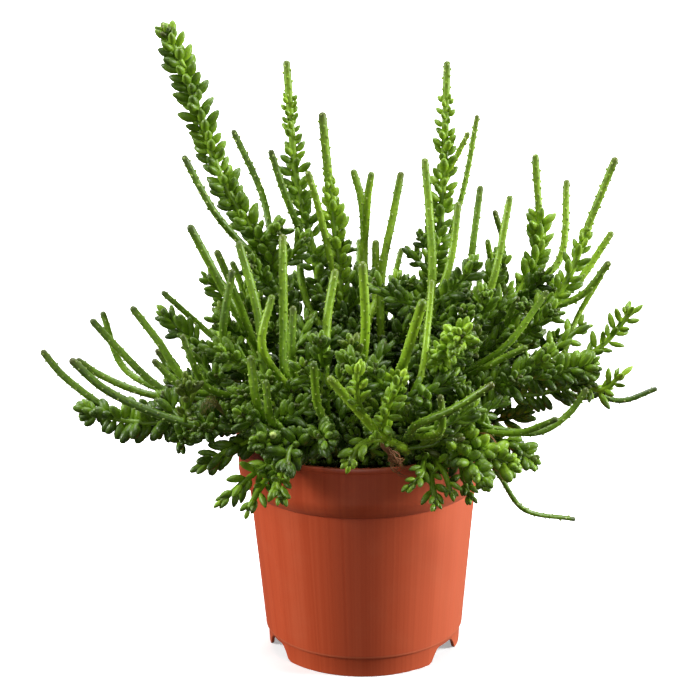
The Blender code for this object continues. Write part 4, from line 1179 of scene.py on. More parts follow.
@dataclass
class Sprig:
    """The points of one piece before it is grown: lines of stems, grains and areoles."""
    places: list[tuple] = field(default_factory=list)
    edges: list[tuple[int, int]] = field(default_factory=list)
    data: list[tuple] = field(default_factory=list)

    def add_line(self, points: Array, girth: Array, tone: Array, age: Array) -> None:
        """Add a stem along a route.

        Args:
            points: the route.
            girth: a radius for each point.
            tone: a tone for each point.
            age: an age for each point.
        """
        start = len(self.places)
        self.edges += [(number, number + 1) for number in range(start, start + len(points) - 1)]
        for place, *numbers in zip(points, girth, tone, age):
            thick, bright, brown = (float(number) for number in numbers)
            self.add_point(place, Part.LINE, UPWARDS, ACROSS, (1.0, 1.0, 1.0), bright, brown, 0.0, thick)

    def add_point(self, place: Array, part: Part, way: tuple | Array, rise: tuple | Array,
                  size: tuple, tone: float, age: float = 0.0, pale: float = 0.0, girth: float = 0.0) -> None:
        """Add one point with all that the tree reads from it."""
        self.places.append(tuple(np.asarray(place) * MM))
        self.data.append((int(part), girth * MM, tone, age, pale, way, rise, [value * MM for value in size]))

    def mesh(self, name: str) -> Mesh:
        """Return the points and lines as a mesh with attributes.

        Args:
            name: the mesh's name.

        Returns:
            The mesh.
        """
        mesh = bpy.data.meshes.new(name)
        mesh.from_pydata(self.places, self.edges, [])
        for (key, kind), column in zip(POINT_DATA.items(), zip(*self.data)):
            numbers = mesh.attributes.new(key, kind, "POINT").data
            flat = np.array(column, dtype=np.int32 if kind == "INT" else np.float32).ravel()
            numbers.foreach_set("vector" if kind == "FLOAT_VECTOR" else "value", flat)
        return mesh


@dataclass(frozen=True)
class GrainHabit:
    """The grains of a clad stretch: their size, spacing, lean and tone."""
    length: float
    width: float
    pitch: float  # along the stem, from one grain to the next
    lean: float  # degrees from the stem's direction
    tone: float
    rise: float = 0.0  # how much each grain reaches up, or hangs down where below zero
    small_end: float = 8.0  # length over which the grains grow, below the top of the stretch
    end_share: float = 0.45  # the size of the topmost grains
    stem: float = 1.35  # radius of the stem between the grains
    spread: float = 10.0  # degrees by which a grain may lean more or less
    reach_up: float = 1.0  # how far the grains pass the top of the clad stretch
    tip_lean: float = 0.45  # share of the lean that is left at the top of the stretch
    crown: int = 6  # small grains that close the tip
    crown_sink: float = 2.2  # how far down the stem they stand
    crown_age: float = 0.25  # how brown the brownest of them is
    crowding: float = 0.45  # how close the topmost grains stand, as a share of the pitch
    part: Part = Part.LEAF  # pointed or plump


@dataclass(frozen=True)
class Tuft:
    """Dry brown roots that leave a stem together and follow much the same way."""
    shoot: str
    points: tuple[Point, ...]
    count: int
    spread: float
    girth: float
    age: float = 1.0


TUFTS = [
    Tuft("spray_middle", (
        (6, -71, 124), (10.5, -74, 120.5), (13.5, -74, 116.5), (15.5, -72, 113), (17.5, -69, 110),
        (19.5, -67.5, 107)), 26, 3.3, 0.38),
    Tuft("arm_left_front", (
        (-62, -42, 127), (-65, -42, 132), (-68, -44, 134), (-70, -45, 130), (-69, -46, 125)),
        16, 3.2, 0.26, 0.72),
    Tuft("bunch_right", ((52, -53, 121), (57, -59, 121), (61, -63, 117)), 6, 3.0, 0.35),
]


@dataclass(frozen=True)
class CutEnd:
    """The pale end of a stem that was cut short, with its darker core."""
    shoot: str
    place: Point
    way: Point
    radius: float
    length: float
    tone: float = 0.45
    face_share: float = 0.74  # the pale face beside the stub
    face_tone: float = 0.58
    core_share: float = 0.3  # the core beside the stub
    core_age: float = 0.3
    paleness: Stretch = (0.65, 0.2)  # of the face and of its core

    def add_to(self, sprig: Sprig) -> None:
        """Add the stub, its pale face and its core.

        Args:
            sprig: takes what is added.
        """
        place, way = np.array(self.place), np.array(self.way) / norm(self.way)
        stub = (self.radius, self.radius, self.length)
        sprig.add_point(place - way * self.length, Part.GRAIN, way, ACROSS, stub, self.tone)
        face_pale, core_pale = self.paleness
        wide = self.face_share * self.radius
        sprig.add_point(place - way * 0.35, Part.AREOLE, way, ACROSS, (wide, wide, 0.8),
                        self.face_tone, 0.0, face_pale)
        narrow = self.core_share * self.radius
        sprig.add_point(place + way * 0.15, Part.AREOLE, way, ACROSS, (narrow, narrow, 0.5),
                        self.tone, self.core_age, core_pale)


CUT_END = CutEnd("bunch_front_left", (-38.0, -81.5, 129.6), (-0.05, -0.94, 0.28), 2.6, 5.0)

GRAIN_HABITS = {
    Habit.TALL_SPIRE: GrainHabit(
        8.8, 4.3, 0.90, 62, 0.45, small_end=12, end_share=0.66, stem=1.8, spread=9, reach_up=-4.5,
        tip_lean=0.72, crown=34, crown_sink=2.4, crown_age=0.70),
    Habit.SPIRE: GrainHabit(
        8.5, 4.3, 1.30, 64, 0.51, small_end=36, end_share=0.42, stem=1.8, reach_up=6,
        tip_lean=0.95, crown=0, crowding=0.9),
    Habit.FINGER: GrainHabit(
        7.2, 3.6, 1.6, 54, 0.48, 0.15, small_end=20, end_share=0.3, stem=1.7, crown=0),
    Habit.ARM: GrainHabit(7.6, 3.6, 1.8, 58, 0.46, 0.15, small_end=12, stem=1.6, crown=0),
    Habit.BUNCH: GrainHabit(
        9.2, 4.7, 0.95, 72, 0.36, -0.25, small_end=6, end_share=0.6, spread=24, part=Part.GRAIN),
    Habit.BERRIES: GrainHabit(
        9.6, 4.2, 0.85, 66, 0.42, 0.85, small_end=8, end_share=0.65, spread=20, part=Part.GRAIN),
    Habit.CLAD: GrainHabit(
        9.6, 3.8, 1.15, 50, 0.38, 0.30, small_end=10, end_share=0.65, spread=20, part=Part.GRAIN),
    Habit.ROSETTE: GrainHabit(
        8.6, 3.5, 0.85, 54, 0.61, small_end=4, end_share=0.80, spread=16, crown=10,
        part=Part.GRAIN),
    Habit.SPRAY: GrainHabit(
        8.2, 3.0, 1.8, 54, 0.58, small_end=5, end_share=0.7, stem=1.4, spread=16, crown=3),
    Habit.TWIG: GrainHabit(
        9.0, 3.6, 1.4, 46, 0.38, 0.35, small_end=6, end_share=0.65, spread=18, part=Part.GRAIN),
}
OWN_GRAINS = {
    "spire_middle": GrainHabit(
        8.0, 4.2, 1.4, 52, 0.56, small_end=24, end_share=0.3, stem=1.9, spread=9, reach_up=10,
        crown=0, crowding=0.8),
    "spire_right_far": GrainHabit(
        9.0, 4.2, 0.95, 58, 0.50, small_end=6, end_share=0.8, stem=1.8, spread=20, crown=0,
        tip_lean=0.8),
    "spire_right_bowed": GrainHabit(
        8.6, 3.8, 1.8, 50, 0.49, small_end=14, end_share=0.45, stem=1.8, crown=0),
    "finger_bright": GrainHabit(
        6.8, 3.4, 1.3, 52, 0.66, small_end=8, end_share=0.4, stem=1.9, spread=14, crown=0),
    "bunch_front": GrainHabit(
        9.8, 4.3, 1.1, 50, 0.40, 0.50, small_end=6, end_share=0.7, spread=18, part=Part.GRAIN),
    "bunch_front_left": GrainHabit(
        10.0, 4.4, 1.1, 48, 0.38, 0.55, small_end=6, end_share=0.7, spread=18, part=Part.GRAIN),
    "bunch_right": GrainHabit(
        7.8, 4.7, 0.90, 64, 0.55, 0.20, small_end=6, end_share=0.55, spread=26, part=Part.GRAIN),
    "spray_front_left": GrainHabit(
        8.7, 3.5, 1.8, 50, 0.50, small_end=10, end_share=0.55, stem=1.5, spread=18, crown=2),
    "spray_front_right": GrainHabit(
        7.7, 3.0, 1.9, 50, 0.57, small_end=8, end_share=0.6, stem=1.4, spread=18, crown=2),
    "spray_left": GrainHabit(
        10.4, 4.3, 1.5, 42, 0.36, small_end=5, end_share=0.8, stem=1.5, spread=14, crown=3,
        part=Part.GRAIN),
    "bunch_right_low": GrainHabit(
        8.0, 4.5, 0.90, 68, 0.46, -0.10, small_end=6, end_share=0.55, spread=24, part=Part.GRAIN),
    "bunch_left": GrainHabit(
        9.4, 4.9, 1.0, 80, 0.31, -0.45, small_end=12, end_share=0.55, spread=24, part=Part.GRAIN),
    "spray_middle": GrainHabit(
        6.9, 3.2, 1.8, 52, 0.64, small_end=5, end_share=0.75, stem=1.7, spread=18, crown=3),
    "spray_right": GrainHabit(
        8.8, 3.2, 1.6, 60, 0.60, small_end=3, end_share=0.85, stem=1.5, spread=14, crown=4),
}
OWN_SIDE_GRAINS = {
    "berries_right": GrainHabit(
        8.6, 3.4, 2.3, 50, 0.47, 0.30, small_end=5, end_share=0.7, stem=1.4, spread=16, crown=2),
}
OWN_CLAD = {"finger_bright": (0.42, 0.68), "spire_right_far": (0.42, 0.80)}
# The far side's grains have fewer faces, as they are never seen from close by.
FAR_GRAINS = {"Grain Sides": 7, "Grain Rings": 5}


@dataclass(frozen=True)
class StemLook:
    """How thick a shoot looks, and how bright."""
    bare_radius: float
    tone: float
    twigs: int
    stub: float = 1.0  # how large its areoles are


STEM_LOOKS = {
    Habit.TALL_SPIRE: StemLook(1.9, 0.57, 5, 1.4),
    Habit.SPIRE: StemLook(2.0, 0.60, 5, 1.4),
    Habit.FINGER: StemLook(2.05, 0.57, 5),
    Habit.ARM: StemLook(1.9, 0.42, 3),
    Habit.BUNCH: StemLook(1.75, 0.47, 3),
    Habit.BERRIES: StemLook(1.75, 0.47, 3),
    Habit.CLAD: StemLook(1.8, 0.48, 4),
    Habit.ROSETTE: StemLook(1.8, 0.55, 4),
    Habit.SPRAY: StemLook(1.5, 0.62, 2),
    Habit.TWIG: StemLook(1.4, 0.45, 0),
}
OWN_RADIUS = {
    "finger_bright": 2.25, "finger_left_thick": 2.15, "finger_middle": 2.1, "arm_right_hanging": 1.2,
    "arm_right_long": 1.55, "arm_right_front": 1.65, "fingers_right_curved": 1.75, "arm_front": 1.8,
    "fingers_right_back": 1.75, "arm_left_front": 2.0, "spray_middle": 2.0, "spire_middle": 2.15,
}
OWN_SIDE_RADIUS = {"finger_bright": 1.5, "spire_right": 1.35}
SIDE_SHARE = 0.9  # how thick a side shoot is beside its stem
OWN_TONES = {
    "finger_bright": 0.06, "arm_front": 0.10, "finger_middle": 0.05, "fingers_middle_front": 0.03,
    "spire_middle": 0.04, "fingers_right_curved": -0.05, "fingers_right_back": -0.04, "spray_middle": 0.03,
    "fingers_left_high": -0.12, "arm_left_long": -0.08, "spire_right_bowed": -0.05, "arm_right_long": -0.06,
    "finger_left_thick": -0.03,
}
SIDE_TONES = {"spire_left_tall": -0.17, "spire_left": -0.14}

# Gaps between the stems: the middle and radius of each, in which no twig has its middle or its tip.
BARE_SPOTS = (
    ((15, -62, 112), 13), ((14, -86, 129), 11), ((74, -8, 144), 11), ((84, 6, 143), 10),
    ((92, -6, 160), 7),
)


@dataclass(frozen=True)
class TwigHabit:
    """The short clad side shoots that fill the bush, and the low ones that hide the soil."""
    height: float = 108.0  # no twig leaves its stem below this
    low_height: float = 102.0
    low_twigs: int = 3  # on each stem
    along: Stretch = (0.05, 0.5)  # where it leaves its stem, as a share of the stem above that height
    length: Stretch = (12, 30)
    low_length: float = 0.6  # the length of a low one, as a share
    low_rise: float = 0.5
    curl: float = 0.18  # how far its tip turns up, as a share of its length
    tries: int = 14
    room: float = 3.6  # to other stems, at least
    pot_room: float = 5.0
    clad: Stretch = (0.22, 1.0)


@dataclass(frozen=True)
class YoungHabit:
    """The short clad shoots that stand in the soil, most of them near the rim."""
    tries: int = 90
    circle: float = 55.0
    area: Stretch = (0.3, 1.0)  # from where to where they stand, as shares of the circle's area
    height: Stretch = (5, 11)
    lean: Stretch = (-0.2, 0.5)
    bow: float = 0.5
    step: float = 1.5
    room: float = 4.0
    clear_above: float = 4.5  # the soil, from where they stay clear of the pot
    radius: float = 1.6
    clad: Stretch = (0.3, 1.0)


@dataclass(frozen=True)
class CrownHabit:
    """The small grains that close a clad tip, each value from the least to the most."""
    lean: Stretch = (8, 70)
    length: Stretch = (0.34, 0.50)
    half_width: Stretch = (0.24, 0.34)
    sink: Stretch = (0.3, 1.0)
    reach: Stretch = (0.6, 1.8)
    tone: Stretch = (-0.10, 0.06)


@dataclass(frozen=True)
class Shading:
    """How the tone and the age change over the plant, with painted light on upward-facing grains and painted
    shade deep inside the bush.
    """
    stem_spread: Stretch = (-0.10, 0.07)
    strand_spread: float = 0.06  # between the grains of one stem and those of another
    grain_spread: float = 0.09
    middle_height: float = 150.0  # higher up it is brighter, and lower down darker
    height_reach: float = 100.0
    stem_high: float = 0.06
    grain_high: float = 0.04
    # painted light: grains that face upwards are brighter, as if lit from above
    painted_top_light: float = 0.12
    near_end: float = 0.08
    tips: tuple[Stretch, ...] = ((0.12, 16.0), (0.17, 4.0))  # how much darker, and over what length
    # painted shade: how much darker the grains deep inside the bush are, where the bush shades them
    inside: float = 0.40
    bush_radius: float = 62.0
    bush_top: float = 195.0
    bush_reach: float = 60.0
    root_age: float = 0.7
    root_reach: Stretch = (38.0, 16.0)  # where the brown of the root ends, and over what length
    dry_tip: Stretch = (0.10, 0.40)
    dry_reach: float = 11.0
    old_grain: Stretch = (0.05, 0.3)

    def depth(self, place: Array) -> float:
        """Return how deep inside the bush a place lies, from 0 at its outside to 1, which sets its painted
        shade.

        Args:
            place: the place.

        Returns:
            The depth.
        """
        inwards = 1.0 - math.hypot(place[0], place[1]) / self.bush_radius
        under = (self.bush_top - place[2]) / self.bush_reach
        return min(1.0, max(0.0, inwards)) * min(1.0, max(0.0, under))


@dataclass
class Plant:
    """All shoots of the plant, each dressed as one piece."""
    clump: Clump
    finish: PlantFinish
    twigs: TwigHabit = TwigHabit()
    young: YoungHabit = YoungHabit()
    crown: CrownHabit = CrownHabit()
    shading: Shading = Shading()
    step: float = 2.0  # between the points of a finished route
    side_swell_start: float = 2.0
    waver: float = 0.05  # how much a stem's thickness wavers
    waver_pitch: float = 0.21
    taper: tuple[Stretch, ...] = ((0.05, 0.4), (0.07, 9.0))  # a share over the last part, and near the tip
    clad_fade: float = 8.0  # length over which a stem gets thinner into its clad stretch
    cap: tuple = (0.0, 0.35, 0.65, 0.87, 0.98)  # the rings of a round tip, as shares of its radius
    clad_early: float = 2.0  # how far the grains pass the lower end of the clad stretch
    clad_short: float = 1.2  # the grains end at least this much before the shoot's end
    grain_room: tuple[Stretch, ...] = ((0.55, 2.6), (1.0, 1.2))  # along a grain, and its radius there
    lowest_size: Stretch = (0.6, 15.0)  # of the lowest grains, and the length over which they grow
    size_spread: Stretch = (0.80, 1.12)
    width_spread: Stretch = (0.88, 1.1)
    slim: float = 0.3
    foot_sink: float = 0.8
    areole_pitch: float = 1.05
    areole_size: Point = (0.40, 0.40, 0.62)
    areole_start: Stretch = (6.0, 12.0)  # on a side shoot, and above a stem's root
    areole_tilt: float = 1.3  # how far it points along the stem
    areole_pale: Stretch = (0.05, 0.75)
    clear_of_stems: float = 3.2
    clear_of_grains: float = 2.8
    missing: float = 0.07
    cell: float = 4.0
    old_share: float = 0.06
    seed: int = 7
    strands: list[Strand] = field(default_factory=list)
    taken: dict = field(default_factory=dict)

    def __post_init__(self) -> None:
        """Settle the routes and ready the random draws."""
        self.draw = random.Random(self.seed)
        self.between = self.draw.uniform
        self.strands = self.clump.settle()
        self.add_twigs()
        self.shoots = self.clump.shoots + [Shoot("twig_young", [])]
        self.add_young_shoots()
        self.routes = [smooth_route(s.points, self.step) for s in self.strands]
        self.all_points = np.concatenate(self.routes)
        self.all_nodes = np.concatenate([
            np.full(len(route), s.node) for route, s in zip(self.routes, self.strands)])

    def add_twigs(self) -> None:
        """Add short clad twigs low on the stems, where they find room, to fill the bush."""
        taken = np.concatenate([s.points for s in self.strands])
        mains = [number for number, s in enumerate(self.strands) if s.parent < 0]
        for number, shoot in zip(mains, self.clump.shoots):
            stem = self.strands[number]
            low = self.twigs.low_twigs
            for turn in range(STEM_LOOKS[shoot.habit].twigs + low):
                twig = self.find_twig(number, stem, taken, turn < low)
                if twig is not None:
                    self.strands.append(twig)
                    taken = np.concatenate([taken, twig.points[2:]])

    def find_twig(self, number: int, stem: Strand, taken: Array, is_low: bool) -> Strand | None:
        """Return the roomiest of some drawn twigs on a stem, or none where there is no room.

        Args:
            number: the stem's place in the list of strands.
            stem: the strand that carries the twig.
            taken: the points that other strands pass.
            is_low: whether the twig hides the soil rather than filling the bush.

        Returns:
            The twig, or None.
        """
        habit = self.twigs
        high = np.nonzero(stem.points[:, 2] > (habit.low_height if is_low else habit.height))[0]
        if len(high) < 4:
            return None
        best, best_room = None, habit.room
        for _ in range(habit.tries):
            joint = int(high[0] + self.between(*habit.along) * (len(high) - 1))
            a = self.between(0, 2 * math.pi)
            length = self.between(*habit.length)
            up = self.between(0.0, 1.0)
            if is_low:
                joint = int(high[0]) + self.draw.randrange(2)
                length *= habit.low_length
                up *= habit.low_rise
            foot = stem.points[joint]
            way = np.array([math.cos(a), math.sin(a), up]) / math.hypot(1.0, up)
            middle = foot + way * length * 0.5
            tip = foot + way * length + np.array([0, 0, habit.curl * length])
            ends = np.array([foot + way * length * 0.7, tip])
            room = min(norm(taken - end, axis=1).min() for end in ends)
            off_pot = np.allclose(self.clump.keep_off_pot(tip, habit.pot_room), tip)
            in_gap = self.in_bare_spot(tip) or self.in_bare_spot(middle)
            if room > best_room and off_pot and not in_gap:
                best_room = room
                route = smooth_route([foot, middle, tip], self.clump.step)
                best = self.clump.make_strand(stem.node, route, habit.clad, number, joint)
                best.is_twig = True
        return best

    def add_young_shoots(self) -> None:
        """Add short clad shoots that stand in the soil wherever there is room."""
        habit, soil_top = self.young, self.clump.soil_top
        taken = np.concatenate([s.points for s in self.strands])
        for _ in range(habit.tries):
            a = self.between(0, 2 * math.pi)
            out = habit.circle * math.sqrt(self.between(*habit.area))
            height = self.between(*habit.height)
            lean = self.between(*habit.lean)
            way = np.array([math.cos(a), math.sin(a), 0.0])
            foot = way * out + np.array([0, 0, soil_top - 1.0])
            tip = foot + way * lean * height + np.array([0, 0, height + 1.0])
            route = smooth_route([foot, (foot + tip) / 2 + way * habit.bow, tip], habit.step)
            high = [p for p in route if p[2] > soil_top + habit.clear_above]
            if norm(taken - tip, axis=1).min() < habit.room or self.in_bare_spot(foot):
                continue
            if not all(np.allclose(self.clump.keep_off_pot(p, habit.radius), p) for p in high):
                continue
            young = self.clump.make_strand(len(self.clump.shoots), route, habit.clad, 0, 0)
            young.is_twig = True
            self.strands.append(young)
            taken = np.concatenate([taken, route])

    def in_bare_spot(self, place: Array) -> bool:
        """Say whether a place lies in one of the gaps that no twig fills."""
        return any(math.dist(place, spot) < reach for spot, reach in BARE_SPOTS)

    def looks(self, number: int) -> tuple[Habit, float, float]:
        """Return how a strand grows, its bare radius and its tone.

        Args:
            number: the strand's place in the list.

        Returns:
            The habit, the radius and the tone.
        """
        strand = self.strands[number]
        shoot = self.shoots[strand.node]
        habit = Habit.TWIG if strand.is_twig else shoot.habit
        look = STEM_LOOKS[habit]
        radius = look.bare_radius if strand.is_twig else OWN_RADIUS.get(shoot.name, look.bare_radius)
        if strand.parent >= 0:
            radius = min(radius, look.bare_radius) * SIDE_SHARE
            radius = radius if strand.is_twig else OWN_SIDE_RADIUS.get(shoot.name, radius)
        tone = look.tone + OWN_TONES.get(shoot.name, 0.0)
        if strand.parent >= 0 and not strand.is_twig:
            tone += SIDE_TONES.get(shoot.name, 0.0)
        return habit, radius, tone

    def grain_habit(self, number: int) -> GrainHabit:
        """Return the grains of a strand.

        Args:
            number: the strand's place in the list.

        Returns:
            The shape and order of its grains.
        """
        strand = self.strands[number]
        usual = GRAIN_HABITS[self.looks(number)[0]]
        if strand.is_twig:
            return usual
        name = self.clump.shoots[strand.node].name
        own = OWN_GRAINS.get(name, usual)
        return OWN_SIDE_GRAINS.get(name, own) if strand.parent >= 0 else own

    def girth_along(self, along: Array, strand: Strand, radius: float, clad_stem: float) -> Array:
        """Return the radius of a strand's stem at each distance along it.

        Args:
            along: distances from the strand's foot.
            strand: the strand.
            radius: its bare radius.
            clad_stem: its radius between the grains.

        Returns:
            A radius for each distance.
        """
        length = along[-1]
        clump, is_side = self.clump, strand.parent >= 0
        root = clump.side_root if is_side else clump.root_stem
        start = self.side_swell_start if is_side else clump.hole_depth + clump.swell_start
        girth = root + (radius - root) * np.clip((along - start) / clump.swell, 0, 1)
        (body, run), (end, reach) = self.taper
        girth *= 1.0 - body * np.clip((along / length - (1 - run)) / run, 0, 1)
        girth *= 1.0 - end * np.clip((along - length + reach) / reach, 0, 1)
        if strand.clad is not None:
            low, high = strand.clad[0] * length, strand.clad[1] * length
            inside = np.clip((along - low) / self.clad_fade, 0, 1)
            inside = inside * np.clip((high - along) / self.clad_fade + 1.0, 0, 1)
            girth = girth * (1 - inside) + np.minimum(girth, clad_stem) * inside
        return girth

    def add_stem(self, sprig: Sprig, number: int) -> None:
        """Add the line of one strand, with closer points in its rounded tip.

        Args:
            sprig: takes what is added.
            number: the strand's place in the list.
        """
        strand, route, shading = self.strands[number], self.routes[number], self.shading
        habit, radius, tone = self.looks(number)
        along = lengths_along(route)
        girth = self.girth_along(along, strand, radius, GRAIN_HABITS[habit].stem)
        shift = self.between(0, 50)
        for k, s in enumerate(along):
            girth[k] *= 1.0 + self.waver * noise.noise((s * self.waver_pitch, shift, 0.0))
        cap = girth[-1]
        way = (route[-1] - route[-2]) / norm(route[-1] - route[-2])
        shares = np.array(self.cap)
        body_end = along[-1] - cap
        keep = along < body_end - 0.4
        end = at_length(route, along, body_end)
        tip = np.array([end + way * cap * share for share in shares])
        points = np.concatenate([route[keep], tip])
        girth = np.concatenate([girth[keep], cap * np.sqrt(1 - shares ** 2)])
        along = lengths_along(points)
        high = (points[:, 2] - shading.middle_height) / shading.height_reach
        to_tip = along[-1] - along
        tones = tone + self.between(*shading.stem_spread) + shading.stem_high * np.clip(high, -0.5, 1)
        for darker, reach in shading.tips:
            tones = tones - darker * np.clip(1 - to_tip / reach, 0, 1)
        ages = np.zeros(len(points))
        if strand.parent < 0:
            root_end, reach = shading.root_reach
            ages = shading.root_age * np.clip((root_end - along) / reach, 0, 1)
        dry = self.between(*shading.dry_tip)
        ages = np.maximum(ages, dry * np.clip(1 - to_tip / shading.dry_reach, 0, 1) ** 1.5)
        sprig.add_line(points, girth, tones, ages)

    def frames(self, number: int, places: Array) -> Iterator[tuple]:
        """Yield the place, direction and two cross directions at distances along a strand.

        Args:
            number: the strand's place in the list.
            places: the distances, from its foot.
        """
        route = self.routes[number]
        along = lengths_along(route)
        slopes = np.gradient(route, along, axis=0)
        side = np.array([0.31, 0.9, 0.2])
        for s in places:
            place, way = at_length(route, along, s), at_length(slopes, along, s)
            way /= norm(way)
            side = side - way * np.dot(side, way)
            side /= norm(side)
            yield s, place, way, side, np.cross(way, side)

    def clad_range(self, number: int, length: float) -> Stretch | None:
        """Return where a strand's grains start and end, in millimetres along it.

        Args:
            number: the strand's place in the list.
            length: its length.

        Returns:
            Both ends, or None for a bare strand.
        """
        strand = self.strands[number]
        clad = strand.clad
        if strand.parent < 0:
            clad = OWN_CLAD.get(self.clump.shoots[strand.node].name, clad)
        if clad is None:
            return None
        high = clad[1] * length + self.grain_habit(number).reach_up
        return clad[0] * length - self.clad_early, min(high, length - self.clad_short)

    def is_free(self, middle: Array, tip: Array, number: int) -> bool:
        """Say whether a grain stays clear of the pot, of other stems and of other grains.

        Args:
            middle: a place near the grain's middle.
            tip: its tip.
            number: the strand's place in the list.

        Returns:
            True if the grain has room; its place is then taken.
        """
        for p, (_, r) in zip((middle, tip), self.grain_room):
            if not np.allclose(self.clump.keep_off_pot(p, r - self.clump.stem_gap), p):
                return False
        others = self.all_nodes != self.strands[number].node
        gaps = norm(self.all_points - middle, axis=1)
        if (gaps[others] < self.clear_of_stems).any():
            return False
        cell = tuple(int(v // self.cell) for v in middle)
        for near in product(*((v - 1, v, v + 1) for v in cell)):
            for owner, other in self.taken.get(near, ()):
                if owner != number and norm(other - middle) < self.clear_of_grains:
                    return False
        self.taken.setdefault(cell, []).append((number, middle))
        return True

    def add_grains(self, sprig: Sprig, number: int) -> int:
        """Add the grains of one strand and return how many there are.

        Args:
            sprig: takes what is added.
            number: the strand's place in the list.

        Returns:
            The number of grains.
        """
        length = lengths_along(self.routes[number])[-1]
        span = self.clad_range(number, length)
        if span is None:
            return 0
        habit, shading = self.grain_habit(number), self.shading
        low, high = span
        places = [high]
        while places[-1] > low:
            grown = min(1.0, (high - places[-1]) / habit.small_end)
            grown = habit.end_share + (1 - habit.end_share) * grown
            places.append(places[-1] - habit.pitch * max(habit.crowding, grown))
        turn = self.between(0, 2 * math.pi)
        added = 0
        strand_tone = habit.tone + self.between(-shading.strand_spread, shading.strand_spread)
        is_old = self.strands[number].is_twig and self.draw.random() < self.old_share
        girths = self.stem_girth(number, np.array(places[::-1]))
        places = places[::-1] + [high] * (habit.crown if self.ends_clad(number) else 0)
        for k, (s, place, along, side, other) in enumerate(self.frames(number, np.array(places))):
            turn += GOLDEN_TURN + self.between(-0.3, 0.3) * habit.spread / 8
            out = math.cos(turn) * side + math.sin(turn) * other
            if k >= len(girths):
                self.add_crown_grain(sprig, habit, place, along, out, strand_tone)
                added += 1
                continue
            to_end = min(1.0, (high - s) / habit.small_end)
            from_start = min(1.0, self.lowest_size[0] + (s - low) / self.lowest_size[1])
            share = (habit.end_share + (1 - habit.end_share) * to_end) * from_start
            share *= self.between(*self.size_spread)
            lean = habit.lean * (habit.tip_lean + (1 - habit.tip_lean) * to_end)
            lean = math.radians(lean + self.between(-1, 1) * habit.spread)
            way = math.sin(lean) * out + math.cos(lean) * along
            rising = 1.0 + 1.4 * math.copysign(out[2], habit.rise * out[2])
            way = way + np.array([0, 0, habit.rise * to_end * min(1.0, max(0.0, rising))])
            way /= norm(way)
            grain_length = habit.length * share
            width = habit.width * (self.slim + (1 - self.slim) * share)
            width *= self.between(*self.width_spread)
            foot = place + out * max(0.5 * habit.stem, girths[k] - self.foot_sink)
            middle, tip = (foot + way * grain_length * along_it for along_it, _ in self.grain_room)
            if self.draw.random() < self.missing or not self.is_free(middle, tip, number):
                continue
            half = width / 2
            tone = strand_tone + self.between(-shading.grain_spread, shading.grain_spread)
            # painted light: brighter where the grain faces upwards
            tone += shading.painted_top_light * max(0.0, way[2])
            risen = (foot[2] - shading.middle_height) / shading.height_reach
            tone += shading.near_end * (1 - to_end) + shading.grain_high * min(1.0, max(-1.0, risen))
            # painted shade: grains deep inside the bush are darkened
            tone -= shading.inside * shading.depth(foot)
            age = self.between(*shading.old_grain) if is_old else 0.0
            sprig.add_point(foot, habit.part, way, along, (half, half, grain_length), tone, age)
            added += 1
        return added

    def add_crown_grain(self, sprig: Sprig, habit: GrainHabit, place: Array, along: Array,
                        out: Array, tone: float) -> None:
        """Add one of the small grains that close a clad tip.

        Args:
            sprig: takes what is added.
            habit: the strand's grains.
            place: the end of the clad stretch.
            along: the strand's direction.
            out: a direction across it.
            tone: the strand's tone.
        """
        crown = self.crown
        lean = math.radians(self.between(*crown.lean))
        way = math.sin(lean) * out + math.cos(lean) * along
        length = habit.length * self.between(*crown.length)
        half = habit.width * self.between(*crown.half_width)
        sink = habit.crown_sink * self.between(*crown.sink)
        foot = place + out * self.between(*crown.reach) - along * sink
        tone += self.between(*crown.tone)
        age = habit.crown_age * self.between(0.0, 1.0)
        sprig.add_point(foot, habit.part, way, along, (half, half, length), tone, age)

    def ends_clad(self, number: int) -> bool:
        """Say whether a strand carries grains up to its tip."""
        clad = self.strands[number].clad
        return clad is not None and clad[1] > CLAD_TO_TIP

    def stem_girth(self, number: int, places: Array) -> Array:
        """Return the radius of a strand's stem at some distances along it.

        Args:
            number: the strand's place in the list.
            places: the distances, from its foot.

        Returns:
            A radius for each distance.
        """
        along = lengths_along(self.routes[number])
        _, radius, _ = self.looks(number)
        girth = self.girth_along(along, self.strands[number], radius, self.grain_habit(number).stem)
        return np.interp(places, along, girth)

    def add_areoles(self, sprig: Sprig, number: int) -> None:
        """Add the pale dots in spirals on the bare stretches of one strand.

        Args:
            sprig: takes what is added.
            number: the strand's place in the list.
        """
        strand = self.strands[number]
        if strand.is_twig:
            return
        route = self.routes[number]
        along = lengths_along(route)
        length = along[-1]
        span = self.clad_range(number, length) or (length, length)
        habit, radius, tone = self.looks(number)
        girth = self.girth_along(along, strand, radius, GRAIN_HABITS[habit].stem)
        on_side, above_root = self.areole_start
        start = on_side if strand.parent >= 0 else self.clump.hole_depth + above_root
        places = [s for s in np.arange(start, length - 1.0, self.areole_pitch)
                  if not span[0] < s < span[1] - 3]
        turn = self.between(0, 2 * math.pi)
        for s, place, way, side, other in self.frames(number, np.array(places)):
            turn += GOLDEN_TURN
            out = math.cos(turn) * side + math.sin(turn) * other
            near_tip = min(1.0, (length - s) / 3.0)
            reach = np.interp(s, along, girth) * (0.55 + 0.45 * near_tip) + 0.06
            share = 0.75 + 0.4 * self.draw.random()
            size = tuple(value * share * STEM_LOOKS[habit].stub for value in self.areole_size)
            up = (out + self.areole_tilt * way) / math.hypot(1.0, self.areole_tilt)
            pale = self.between(*self.areole_pale)
            sprig.add_point(place + out * reach, Part.AREOLE, up, way, size, tone, 0.0, pale)

